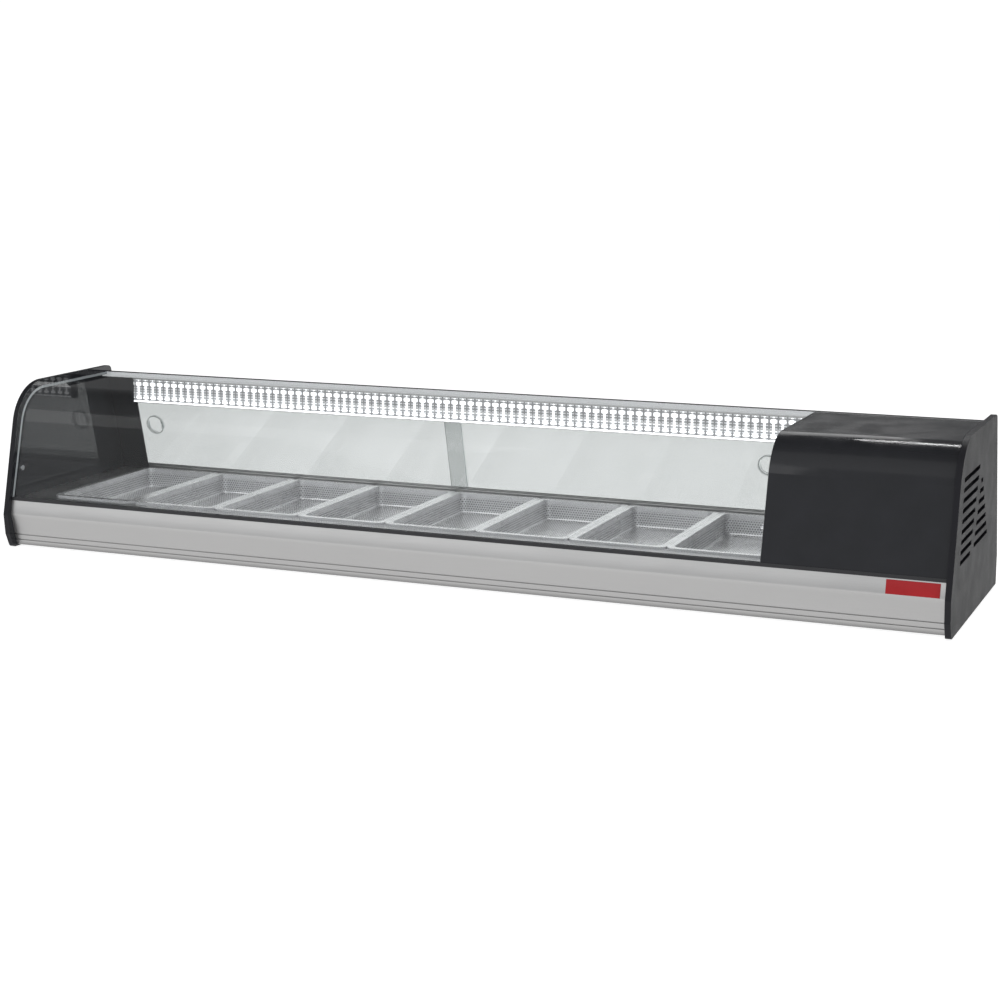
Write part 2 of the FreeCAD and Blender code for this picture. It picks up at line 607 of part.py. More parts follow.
def pan(number):
    """A one-third pan: tapered shell, flat flange and a rim turned down on the deck."""
    name = f"pan_{number}"
    open_wide = "(pan_width - 2 * pan_flange)"
    open_long = "(pan_length - 2 * pan_flange)"
    body = doc.addObject("PartDesign::Body", name)
    shell = sketch_on(body, "XY_Plane", name + "_shell_outline")
    draw_rounded(shell, open_wide, open_long, "pan_corner")
    outside = pad(body, shell, "pan_depth - pan_sheet", name + "_shell", backwards=True)
    outside.setExpression("TaperAngle", bind("-pan_draft"))
    flange = sketch_on(body, "XY_Plane", name + "_flange_outline")
    draw_rounded(flange, "pan_width", "pan_length", "pan_corner")
    pad(body, flange, "pan_sheet", name + "_flange")
    rim = sketch_on(body, "XY_Plane", name + "_rim_outline")
    draw_rounded(rim, "pan_width", "pan_length", "pan_corner")
    draw_rounded(rim, "pan_width - 2 * pan_sheet", "pan_length - 2 * pan_sheet",
                 "pan_corner - pan_sheet")
    pad(body, rim, "pan_lip - pan_sheet", name + "_rim", backwards=True)
    doc.recompute()
    before = body.Shape.Volume
    well = sketch_on(body, "XY_Plane", name + "_inside_outline")
    well.setExpression("AttachmentOffset.Base.z", bind("pan_sheet"))
    draw_rounded(well, f"{open_wide} - 2 * pan_sheet", f"{open_long} - 2 * pan_sheet",
                 "pan_corner - pan_sheet")
    inside = body.newObject("PartDesign::Pocket", name + "_inside")
    inside.Profile = well
    inside.setExpression("Length", bind("pan_depth - pan_sheet"))
    inside.setExpression("TaperAngle", bind("-pan_draft"))
    doc.recompute()
    if body.Shape.Volume > before / 2:
        raise RuntimeError(f"{name} isn't hollow")
    round_loop(body, -value("pan_depth - 2 * pan_sheet"), "pan_foot_round - pan_sheet",
               name + "_inside_foot")
    round_loop(body, -value("pan_depth - pan_sheet"), "pan_foot_round", name + "_foot")
    rest = f"{DECK_TOP} + pan_lip - pan_sheet"
    return place(body, f"first_pan + {number - 1} * pan_pitch", deep("pan_centre"), rest)


def make_pans():
    for number in range(1, int(SIZES["pan_count"]) + 1):
        keep(pan(number), f"pan_{number}")


# ---- rear: rails, doors and skins -------------------------------------------------------------

def make_top_rail():
    def level(out):
        return lean(out, f"(glass_top - rear_break - ({out}) * sin(rear_lean)) / cos(rear_lean)")

    ledge_join = f"({LEDGE} - rear_break - (rail_in) * sin(rear_lean)) / cos(rear_lean)"
    lip = deep("glass_rear + 0.3")
    points = [lean("rail_out", "top_rail_foot"), level("rail_out"), (lip, "glass_top"),
              (lip, "glass_top - glass_thick - panel_gap"),
              (deep("ledge_front"), "glass_top - glass_thick - panel_gap"),
              (deep("ledge_front"), LEDGE), lean("rail_in", ledge_join),
              lean("rail_in", "top_rail_foot")]
    points += groove("groove_in_b", "groove_in_a", "top_rail_foot", "top_rail_roof")
    points += groove("groove_out_b", "groove_out_a", "top_rail_foot", "top_rail_roof")
    keep(section("rear_top_rail", points, INNER_LEFT, INNER_LENGTH), "rear_top_rail")


def groove(near, far, mouth, end):
    return [lean(near, mouth), lean(near, end), lean(far, end), lean(far, mouth)]


def make_bottom_rail():
    points = [lean("rail_in", "low_rail_foot"), lean("rail_out", "low_rail_foot"),
              lean("rail_out", "low_rail_top")]
    points += groove("groove_out_a", "groove_out_b", "low_rail_top", "low_rail_floor")
    points += groove("groove_in_a", "groove_in_b", "low_rail_top", "low_rail_floor")
    points.append(lean("rail_in", "low_rail_top"))
    keep(section("rear_bottom_rail", points, INNER_LEFT, COOLER_LENGTH), "rear_bottom_rail")


def door(name, left, right, near, far, grip_x):
    """A clear sliding door with a flanged finger dish let into it, open to the rear."""
    rear_face = f"({near} + {far}) / 2 + door_thick / 2"
    front_face_out = f"{rear_face} - door_thick"
    blank = leaning(name + "_blank", [rectangle(left, "door_foot", right, "door_head")],
                    "door_thick", rear_face)
    hole = leaning_rod(name + "_hole", grip_x, f"{rear_face} + 1", "grip_height", "grip_neck",
                       "door_thick + 2")
    keep(cut(name, blank, [hole]), name)
    neck = leaning_rod(name + "_neck", grip_x, rear_face, "grip_height", "grip_neck", "door_thick")
    rims = [leaning_rod(f"{name}_rim_{i}", grip_x, out, "grip_height", "grip_radius", "grip_flange")
            for i, out in enumerate((f"{rear_face} + grip_flange", front_face_out))]
    bore = leaning_rod(name + "_finger_dish", grip_x, f"{rear_face} + 2", "grip_height",
                       "grip_hole", "door_thick + 2 - grip_floor")
    keep(cut(name + "_grip", fuse(name + "_grip_blank", [neck] + rims), [bore]), name + "_grip")


def make_doors():
    left = f"{INNER_LEFT} + door_play"
    right = "cooler_end - panel_gap - door_play"
    door("door_left", left, "door_overlap_right", "groove_in_b", "groove_in_a",
         f"{left} + grip_inset")
    door("door_right", "door_overlap_left", right, "groove_out_b", "groove_out_a",
         f"{right} - grip_inset")


def make_corner_post():
    """A dark cover strip beside the left end panel, in front of the doors."""
    strip = leaning_box("rear_corner_post", INNER_LEFT, "rail_in - panel_gap", "post_foot",
                        "post_width", "post_thick", "post_head - post_foot")
    keep(strip, "rear_corner_post")


def make_skirt():
    """The vertical rear skirt with a return at its top, and the cable gland's hole."""
    inner = "skirt_depth - sheet_thick"
    blank = box("skirt_plate_blank", INNER_LEFT, deep(inner), TRAY_TOP, INNER_LENGTH,
                "sheet_thick", f"skirt_top - ({TRAY_TOP})")
    hole = rod("skirt_gland_hole", "gland_across", deep("skirt_depth - 5"), "gland_height",
               "gland_neck + 0.1", "10", "Y")
    shelf = box("skirt_return_strip", INNER_LEFT, deep("skirt_return"), "skirt_top - sheet_thick",
                INNER_LENGTH, f"{inner} - skirt_return", "sheet_thick")
    keep(group("rear_skirt", [cut("skirt_plate", blank, [hole]), shelf]), "rear_skirt")


SKIN_LEFT = "cooler_end + 1"
SKIN_RIGHT = "case_length / 2 - panel_thickness - 0.5"
SCREW_SPOTS = [(x, rise) for rise in ("skin_foot + 6", "skin_head - 8")
               for x in (f"{SKIN_LEFT} + 12", "(cooler_end + case_length / 2) / 2",
                         f"{SKIN_RIGHT} - 12")]


def louvre_loops():
    loops = []
    for start, count in (("louvre_low", "louvre_low_count"), ("louvre_high", "louvre_high_count")):
        for step in range(int(SIZES[count])):
            for side in (0, 1):
                x = f"cooler_end + 25 + {side} * (louvre_length + 25)"
                low = f"{start} + {step} * louvre_pitch"
                loops.append(rectangle(x, low, f"{x} + louvre_length", f"{low} + louvre_height"))
    return loops


def switch_x(number):
    return f"switch_across + {number} * switch_pitch"


def make_service_panel():
    blank = leaning("service_blank", [rectangle(SKIN_LEFT, "skin_foot", SKIN_RIGHT, "skin_head")]
                    + louvre_loops(), "sheet_thick", "skin_out")
    low = "control_rise - bezel_height / 2 + 2.5"
    tools = [leaning_box("service_control_hole", "control_across - bezel_width / 2 + 2.5",
                         "skin_out + 2", low, "bezel_width - 5", "6", "bezel_height - 5")]
    for number in (0, 1):
        tools.append(leaning_box(f"service_switch_hole_{number}",
                                 f"{switch_x(number)} - switch_width / 2 + 1.7", "skin_out + 2",
                                 "control_rise - switch_height / 2 + 1.7", "switch_width - 3.4", "6",
                                 "switch_height - 3.4"))
    for number, (x, rise) in enumerate(SCREW_SPOTS):
        tools.append(leaning_rod(f"service_screw_hole_{number}", x, "skin_out + 2", rise,
                                 "screw_radius + 0.1", "6"))
    keep(cut("rear_service_panel", blank, tools), "rear_service_panel")
    screws = []
    for number, (x, rise) in enumerate(SCREW_SPOTS):
        head = leaning_rod(f"screw_head_{number}", x, "skin_out + 2", rise, "screw_head", "2")
        shank = leaning_rod(f"screw_shank_{number}", x, "skin_out", rise, "screw_radius", "8")
        screws.append(fuse(f"screw_{number}", [head, shank]))
    keep(group("service_panel_screws", screws), "service_panel_screws")


# ---- light ------------------------------------------------------------------------------------

LAMP_LEFT = f"{INNER_LEFT} + lamp_inset"
LAMP_RUN = f"({COOLER_LENGTH} - lamp_inset - cap_length)"


def make_lamp():
    """An upright lamp under the rear rail: a channel, a board with two rows of diodes and a lens."""
    points = [(deep("lamp_front"), LEDGE), (deep("lamp_front"), f"{LEDGE} - lamp_wall"),
              (deep("lamp_rear - lamp_wall"), f"{LEDGE} - lamp_wall"),
              (deep("lamp_rear - lamp_wall"), "lamp_foot + lamp_wall"),
              (deep("lamp_front"), "lamp_foot + lamp_wall"), (deep("lamp_front"), "lamp_foot"),
              (deep("lamp_rear"), "lamp_foot"), (deep("lamp_rear"), LEDGE)]
    keep(section("led_channel", points, LAMP_LEFT, LAMP_RUN), "led_channel")
    low = "lamp_foot + lamp_wall + 0.2"
    height = f"{LEDGE} - lamp_wall - 0.2 - ({low})"
    board_face = "lamp_rear - 2 * lamp_wall"
    keep(box("led_board", f"{LAMP_LEFT} + 3", deep(board_face), low, f"{LAMP_RUN} - 6",
             "lamp_wall", height), "led_board")
    start = f"{LAMP_LEFT} + ({LAMP_RUN} - (diode_count - 1) * diode_pitch) / 2"
    diodes = [box(f"{row}_{i}", f"{start} + {i} * diode_pitch - diode_size / 2",
                  deep(f"{board_face} - diode_thick"), row, "diode_size", "diode_thick",
                  "diode_height")
              for row in ("diode_low_row", "diode_high_row")
              for i in range(int(SIZES["diode_count"]))]
    keep(group("led_diodes", diodes), "led_diodes")
    keep(box("lamp_lens", f"{LAMP_LEFT} + 1", deep("lens_front"), low, f"{LAMP_RUN} - 2",
             "lens_thick", height), "lamp_lens")


def make_lamp_caps():
    caps = [box(f"lamp_cap_{i}", x, deep("lamp_front"), "lamp_foot", "cap_length",
                "lamp_rear - lamp_front", f"{LEDGE} - lamp_foot")
            for i, x in enumerate((f"{LAMP_LEFT} - cap_length", "cooler_end - cap_length"))]
    keep(group("lamp_end_caps", caps), "lamp_end_caps")


# ---- compressor compartment -------------------------------------------------------------------

def make_compressor():
    x = "compressor_across"
    y = deep("compressor_depth")
    belly = "compressor_foot + compressor_radius / 2"
    straight = "compressor_height - 1.1 * compressor_radius"
    solids = [rod("shell_wall", x, y, belly, "compressor_radius", straight),
              rod("shell_seam", x, y, f"{belly} + ({straight}) / 2", "compressor_radius + 4", "4"),
              rod("shell_foot", x, y, "compressor_foot", "compressor_radius / 2", "20")]
    for name, height, dome in (("lower_dome", belly, "compressor_radius / 2"),
                               ("upper_dome", f"{belly} + {straight}", "0.6 * compressor_radius")):
        ball = doc.addObject("Part::Ellipsoid", name)
        ball.setExpression("Radius1", bind(dome))
        ball.setExpression("Radius2", bind("compressor_radius"))
        ball.setExpression("Radius3", bind("compressor_radius"))
        solids.append(place(ball, x, y, height))
    for name, stub_x, stub_y in (("suction_stub", f"{x} - 27", f"{y} - 15"),
                                 ("discharge_stub", f"{x} + 28", f"{y} + 15")):
        solids.append(rod(name, stub_x, stub_y, "stub_top - 46", "stub_radius", "46"))
    keep(fuse("compressor_shell", solids), "compressor_shell")
    keep(box("compressor_base", f"{x} - base_length / 2", f"{y} - base_width / 2",
             "compressor_foot - base_thick", "base_length", "base_width", "base_thick"),
         "compressor_base")
    grommets = []
    for i, (sx, sy) in enumerate(((-1, -1), (1, -1), (1, 1), (-1, 1))):
        grommets.append(rod(f"grommet_{i}", f"{x} + {sx} * (base_length / 2 - 14)",
                            f"{y} + {sy} * (base_width / 2 - 14)", TRAY_TOP, "grommet_radius",
                            f"compressor_foot - base_thick - ({TRAY_TOP})"))
    keep(group("compressor_grommets", grommets), "compressor_grommets")
    keep(box("compressor_terminal_box", f"{x} - 23", f"{y} - compressor_radius - 33.5", "90", "46",
             "28", "36"), "compressor_terminal_box")


def make_condenser():
    fins = [box(f"fin_{i}", "condenser_across - fin_width / 2", deep(f"fin_front + {i} * fin_pitch"),
                "fin_low", "fin_width", "fin_thick", "fin_height")
            for i in range(int(SIZES["fin_count"]))]
    holes = [rod(f"fin_hole_{i}", "condenser_across", deep("fin_front - 5"),
                 f"tube_low + {i} * tube_pitch", "tube_radius + 0.1", "fin_length + 10", "Y")
             for i in range(6)]
    keep(cut("condenser_fins", group("fin_pack", fins), holes), "condenser_fins")
    x = "condenser_across"
    rear = deep("fin_front + fin_length + 22")
    front = deep("fin_front - 22")
    route = [("drier_across + drier_length + 2", deep("drier_depth"), "tube_low"),
             (x, deep("drier_depth"), "tube_low")]
    for turn in range(5):
        side = front if turn % 2 == 0 else rear
        for step in (turn, turn + 1):
            route.append((x, side, f"tube_low + {step} * tube_pitch"))
    last = deep("fin_front + fin_length + 25")
    route += [(x, last, "tube_low + 5 * tube_pitch"), (x, last, "tube_low + 5 * tube_pitch + 22")]
    keep(bent_tube("condenser_tubes", route, "tube_radius", "tube_pitch / 2"), "condenser_tubes")


def make_fan():
    y = deep("fan_depth")
    z = "fan_height"
    plate = box("shroud_plate", "shroud_across", f"{y} - shroud_size / 2", f"{z} - shroud_size / 2",
                "2", "shroud_size", "shroud_size")
    ring = "fan_radius + fan_tip_gap"
    collar = rod("shroud_ring", "shroud_across - shroud_collar", y, z, f"{ring} + 2",
                 "shroud_collar + 1", "X")
    hole = rod("shroud_hole", "shroud_across - shroud_collar - 1", y, z, ring, "shroud_collar + 5",
               "X")
    keep(cut("fan_shroud", fuse("shroud_blank", [plate, collar]), [hole]), "fan_shroud")
    case = rod("motor_case", "fan_across - 40", y, z, "motor_radius", "32", "X")
    shaft = rod("motor_shaft", "fan_across - 9", y, z, "shaft_radius", "25", "X")
    keep(fuse("fan_motor", [case, shaft]), "fan_motor")
    bar = box("bracket_bar", "fan_across - 44", f"{y} - 90", f"{z} - 8", "4", "180", "16")
    arms = [box(f"bracket_arm_{i}", "fan_across - 41", f"{y} + {side}", f"{z} - 8",
                "shroud_across - fan_across + 41", "3", "16") for i, side in enumerate((-90, 87))]
    keep(fuse("fan_bracket", [bar] + arms), "fan_bracket")
    hub = rod("fan_hub_blank", "fan_across - 4", y, z, "fan_hub", "22", "X")
    blades = [fan_blade(i, y, z) for i in range(int(SIZES["blade_count"]))]
    bore = rod("fan_bore", "fan_across - 5", y, z, "shaft_radius + shaft_clear", "24", "X")
    keep(cut("fan_blades", fuse("fan_blank", [hub] + blades), [bore]), "fan_blades")


def fan_blade(number, y, z):
    """One flat pitched blade standing out from the hub."""
    blade = doc.addObject("Part::Box", f"blade_{number}")
    blade.setExpression("Length", bind("blade_thick"))
    blade.setExpression("Width", bind("blade_width"))
    blade.setExpression("Height", bind("fan_radius - fan_hub + blade_root"))
    centre = Placement(Vector(value("fan_across + 7"), value(y), value(z)),
                       Rotation(Vector(1, 0, 0), 360 * number / value("blade_count")))
    pitch = Placement(Vector(0, 0, 0), Rotation(Vector(0, 0, 1), value("blade_pitch_angle")))
    reach = Placement(Vector(value("-blade_thick / 2"), value("-blade_width / 2"),
                            value("fan_hub - blade_root")), Rotation())
    turn = Placement(Vector(0, 0, 0), Rotation(Vector(0, 0, 1), 90))
    blade.Placement = centre * turn * pitch * turn.inverse() * reach
    return blade


def make_lines():
    depth = deep("drier_depth")
    can = rod("drier_can", "drier_across + 3", depth, "tube_low", "drier_radius",
              "drier_length - 6", "X")
    ends = rod("drier_ends", "drier_across - 2", depth, "tube_low", "5", "drier_length + 4", "X")
    keep(fuse("filter_drier", [can, ends]), "filter_drier")
    x = "compressor_across"
    y = deep("compressor_depth")
    suction_x = f"{x} - 27"
    route = [("line_end", deep("coil_front"), "coil_height"),
             (suction_x, deep("coil_front"), "coil_height"), (suction_x, deep("coil_front"), "225"),
             (suction_x, f"{y} - 15", "225"), (suction_x, f"{y} - 15", "stub_top")]
    keep(bent_tube("suction_line", route, "5", "14"), "suction_line")
    over = deep("fin_front + fin_length + 25")
    route = [(f"{x} + 28", f"{y} + 15", "stub_top"), (f"{x} + 28", f"{y} + 15", "250"),
             (f"{x} + 28", over, "250"), ("condenser_across", over, "250"),
             ("condenser_across", over, "tube_low + 5 * tube_pitch + 22")]
    keep(bent_tube("discharge_line", route, "tube_radius", "9"), "discharge_line")
    route = [("drier_across - 2", depth, "tube_low"), ("drier_across - 40", depth, "tube_low"),
             ("drier_across - 70", deep(COIL_REAR), "coil_height"),
             ("line_end", deep(COIL_REAR), "coil_height")]
    keep(bent_tube("capillary_tube", route, "1.5", "12"), "capillary_tube")


# ---- controls and fittings --------------------------------------------------------------------

BUTTONS = (("button_set", 8), ("button_up", 18), ("button_down", 28))


def make_thermostat():
    rise = "control_rise"
    face = "skin_out + bezel_thick"
    bezel = leaning_box("bezel", "control_across - bezel_width / 2", face,
                        f"{rise} - bezel_height / 2", "bezel_width", "bezel_thick", "bezel_height")
    case = leaning_box("control_case", "control_across - bezel_width / 2 + 3", "skin_out",
                       f"{rise} - bezel_height / 2 + 3", "bezel_width - 6", "control_deep",
                       "bezel_height - 6")
    wells = [leaning_rod(f"{name}_well", f"control_across + {x}", f"{face} + 1", rise,
                         "button_radius + 0.15", "4.8") for name, x in BUTTONS]
    keep(cut("thermostat_body", fuse("thermostat_blank", [bezel, case]), wells), "thermostat_body")
    for name, x in BUTTONS:
        keep(leaning_rod(name, f"control_across + {x}", f"{face} + button_travel", rise,
                         "button_radius", "3.4"), name)


PIVOT_OUT = "skin_out - 2"


def make_switches():
    housings = []
    for number in (0, 1):
        x = switch_x(number)
        rim = leaning_box(f"switch_rim_{number}", f"{x} - switch_width / 2", "skin_out + switch_rim",
                          "control_rise - switch_height / 2", "switch_width", "switch_rim",
                          "switch_height")
        case = leaning_box(f"switch_case_{number}", f"{x} - switch_width / 2 + switch_rim",
                           "skin_out", "control_rise - switch_height / 2 + switch_rim",
                           "switch_width - 2 * switch_rim", "switch_deep",
                           "switch_height - 2 * switch_rim")
        hole = leaning_box(f"switch_hole_{number}", f"{x} - rocker_width / 2 - 0.2", "skin_out + 3",
                           "control_rise - switch_mouth / 2", "rocker_width + 0.4",
                           "switch_deep - 1", "switch_mouth")
        pin = rod(f"switch_pin_hole_{number}", f"{x} - 7.4", lean_y(PIVOT_OUT, "control_rise"),
                  lean_z(PIVOT_OUT, "control_rise"), "rocker_pin + 0.06", "14.8", "X")
        blank = fuse(f"switch_blank_{number}", [rim, case])
        housings.append(cut(f"switch_housing_{number}", blank, [hole, pin]))
    keep(group("switch_housings", housings), "switch_housings")
    for number, name in enumerate(("power_rocker", "light_rocker")):
        x = switch_x(number)
        points = [("-5", "-6"), ("6", "-12.2"), ("4.6", "0"), ("6", "12.2"), ("-5", "6")]
        body = section(f"{name}_blank", points, "0", "rocker_width")
        spot = lean(PIVOT_OUT, "control_rise")
        place(body, f"{x} - rocker_width / 2", *spot,
              rotation=Rotation(Vector(1, 0, 0), SIZES["rear_lean"] - SIZES["rocker_tilt"]))
        body.setExpression("Placement.Rotation.Angle", bind("rear_lean - rocker_tilt"))
        pin = rod(f"{name}_pin", f"{x} - 7.2", *spot, "rocker_pin", "14.4", "X")
        keep(fuse(name, [body, pin]), name)


def make_gland():
    x = "gland_across"
    z = "gland_height"
    rods = [rod("gland_thread", x, deep("skirt_depth - 11"), z, "gland_neck", "12", "Y"),
            rod("gland_flange", x, deep("skirt_depth"), z, "gland_neck + 3", "3.5", "Y"),
            rod("gland_dome", x, deep("skirt_depth + 3"), z, "gland_neck + 1", "3.5", "Y")]
    bore = rod("gland_bore_tool", x, deep("skirt_depth - 12"), z, "gland_bore", "20", "Y")
    keep(cut("cable_gland", fuse("gland_blank", rods), [bore]), "cable_gland")


def make_feet():
    feet = [rod(f"foot_{i}", f"{side} * (case_length / 2 - 57)", deep(depth), "0", "foot_radius",
                "foot_height") for i, (side, depth) in
            enumerate((side, depth) for side in (-1, 0, 1) for depth in (70, 380))]
    keep(group("feet", feet), "feet")


def make_badge():
    """A plain plate on the sloping face between the nose and the top of the aluminium."""
    slope = "(alu_top_depth - alu_nose_depth) / (alu_top - nose_height)"
    low = "nose_height + 1.5"
    high = "alu_top - 2"

    def on_face(height, out="0"):
        return deep(f"alu_nose_depth + ({height} - nose_height) * {slope} - ({out})")

    points = [(on_face(low), low), (on_face(low, "badge_thick"), low),
              (on_face(high, "badge_thick"), high), (on_face(high), high)]
    keep(section("badge_plate", points, "badge_left", "badge_width"), "badge_plate")


def make_studs():
    studs = [rod(f"stud_{i}", x, deep("stud_depth"), "stud_height", "stud_radius", "stud_length",
                 "X") for i, x in enumerate(("panel_thickness - case_length / 2",
                                             "cooler_end - stud_length"))]
    keep(group("glass_studs", studs), "glass_studs")


def check_document():
    """Stop before anything is written if an object failed."""
    doc.recompute()
    for item in doc.Objects:
        if "Invalid" in item.State or "Error" in item.State:
            raise RuntimeError(f"{item.Name} failed: {item.State}")
    for item in parts:
        if item.Shape.isNull() or not item.Shape.isValid() or not item.Shape.Solids:
            raise RuntimeError(f"{item.Label} has no sound solid")


def write_parts():
    os.makedirs("parts", exist_ok=True)
    for item in parts:
        item.Shape.exportStep(f"parts/{item.Label}.step")


def main():
    for step in (make_end_panels, make_front_extrusion, make_glass_seat, make_glass_and_cover,
                 make_bulkhead, make_bottom_tray, make_foam, make_inner_tub, make_drain,
                 make_evaporator, make_deck, make_pans, make_top_rail, make_bottom_rail, make_doors,
                 make_corner_post, make_skirt, make_service_panel, make_lamp, make_lamp_caps, make_compressor,
                 make_condenser, make_fan, make_lines, make_thermostat, make_switches, make_gland,
                 make_feet, make_badge, make_studs):
        step()
    check_document()
    write_parts()
    print(len(parts), "sub-parts")


main()
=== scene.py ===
"""Looks of a counter-top refrigerated deli case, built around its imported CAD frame.

Metres, in the frame of the CAD: +X to the compressor end, +Y to the rear, where the sliding
doors are, and +Z up.
"""
import json
import math

import bmesh
import bpy
from mathutils import Matrix, Vector


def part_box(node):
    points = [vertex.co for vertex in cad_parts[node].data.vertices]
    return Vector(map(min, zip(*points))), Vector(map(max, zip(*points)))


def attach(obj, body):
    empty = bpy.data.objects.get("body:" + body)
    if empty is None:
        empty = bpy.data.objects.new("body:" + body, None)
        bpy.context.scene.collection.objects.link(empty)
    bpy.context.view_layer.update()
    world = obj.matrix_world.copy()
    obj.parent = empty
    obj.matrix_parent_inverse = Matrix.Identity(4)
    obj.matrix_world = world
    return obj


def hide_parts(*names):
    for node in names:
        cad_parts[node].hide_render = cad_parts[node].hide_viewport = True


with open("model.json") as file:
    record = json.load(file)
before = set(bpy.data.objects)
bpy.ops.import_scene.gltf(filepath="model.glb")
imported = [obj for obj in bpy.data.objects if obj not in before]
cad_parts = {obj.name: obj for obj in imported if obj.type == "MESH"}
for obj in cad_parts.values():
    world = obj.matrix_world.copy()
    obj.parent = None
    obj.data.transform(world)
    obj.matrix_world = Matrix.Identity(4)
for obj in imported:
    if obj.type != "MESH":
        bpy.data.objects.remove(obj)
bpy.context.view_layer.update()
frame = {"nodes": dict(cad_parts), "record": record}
MM = 0.001

# Perforated sheet: staggered round holes, whose rows are closer than their pitch.
PERFORATION_PITCH = 5.0 * MM
ROW_PER_PITCH = math.sqrt(3) / 2
DECK_HOLE = 1.45 * MM
PAN_HOLE = 1.2 * MM
PAN_COUNT = 8
OPENING_INSET = 8 * MM
PAN_MARGIN = 1 * MM
SOLID_EDGE = 4 * MM

GLASS_IOR = 1.5

# The lamp: its diodes, and the heights of what its lens shows.
LED_PITCH = 16.6667 * MM
LED_HALF_WIDTH = 2.5 * MM
HIGH_DOMES = 279.5 * MM
LOW_DOMES = 252.0 * MM
LIGHT_LINE = 245.4 * MM
LINE_SOFTNESS = 0.6 * MM
LENS_ROWS = 60
LENS_COLUMNS_PER_LED = 10
LENS_FACE = 1.9 * MM
RIB_HALF_WIDTH, RIB_RISE = 2.4 * MM, 1.1 * MM
DOME_RISE = 1.7 * MM
DOMES = ((HIGH_DOMES, 5.6 * MM, 4.4 * MM), (LOW_DOMES, 5.2 * MM, 3.6 * MM))
ROLL_RISE = 1.6 * MM

# Screws of the end panels: from the panel's front edge, and up from the floor.
SCREW_PLACES = ((30 * MM, 78 * MM), (392 * MM, 66 * MM), (345 * MM, 270 * MM))
SCREW_RADIUS = 3.2 * MM
SCREW_SUNK = 0.6 * MM
SCREW_SIDES = 20

# The thermostat's window, on a face that leans with the rear panel.
REAR_LEAN = math.radians(13)
WINDOW_SIZE = (34 * MM, 18 * MM, 0.7 * MM)
WINDOW_CORNER = 2 * MM
WINDOW_LEFT_OF_MIDDLE = 12 * MM
WINDOW_SUNK = 0.2 * MM

# Nodes with a bevel, and its width.
BEVELS = (("badge_plate", 0.35 * MM), ("compressor_cover", 0.4 * MM))
BEVEL_ANGLE = math.radians(40)
WELD_DISTANCE = 0.01 * MM

# Studio: name, place, aim, width, height and watts of each light.
SOFTBOXES = (
    ("strip_light", (0.95, 1.38, 1.94), (0.75, -0.08, 0.29), 1.6, 0.09, 13),
    ("top_light", (-0.3, -1.6, 2.7), (-0.1, -0.1, 0.2), 4.2, 2.0, 8),
    ("front_light", (-2.6, -3.0, 2.2), (0, 0, 0.1), 2.4, 1.6, 12),
    ("end_light", (3.4, -0.9, 1.5), (0.8, 0, 0.1), 1.2, 1.6, 2),
    ("rear_light", (-1.0, 3.4, 2.0), (0, 0.2, 0.1), 2.4, 1.4, 12),
    ("backdrop", (-0.2, 0.66, 0.17), (-0.2, 0, 0.17), 2.0, 0.30, 2.4),
)
LAMP_WATTS = 0.7
LAMP_GLOW_WIDTH = 30 * MM
LAMP_AIM_FORWARD, LAMP_AIM_HEIGHT = 120 * MM, 90 * MM
SKY_SEEN = 1.05
SKY_BEHIND, SKY_IN_FRONT = 0.16, 0.75
FLOOR_HALF_SIDE = 14
FLOOR_GLOW = 0.84

# Camera, in metres, radians and millimetres of focal length.
EYE = (1.4474, -3.2527, 0.8303)
YAW, PITCH, ROLL = 0.4076, 0.1964, -0.0047
FOCAL_LENGTH, SENSOR_WIDTH = 71.78, 36


# ---- node materials -----------------------------------------------------------------------------

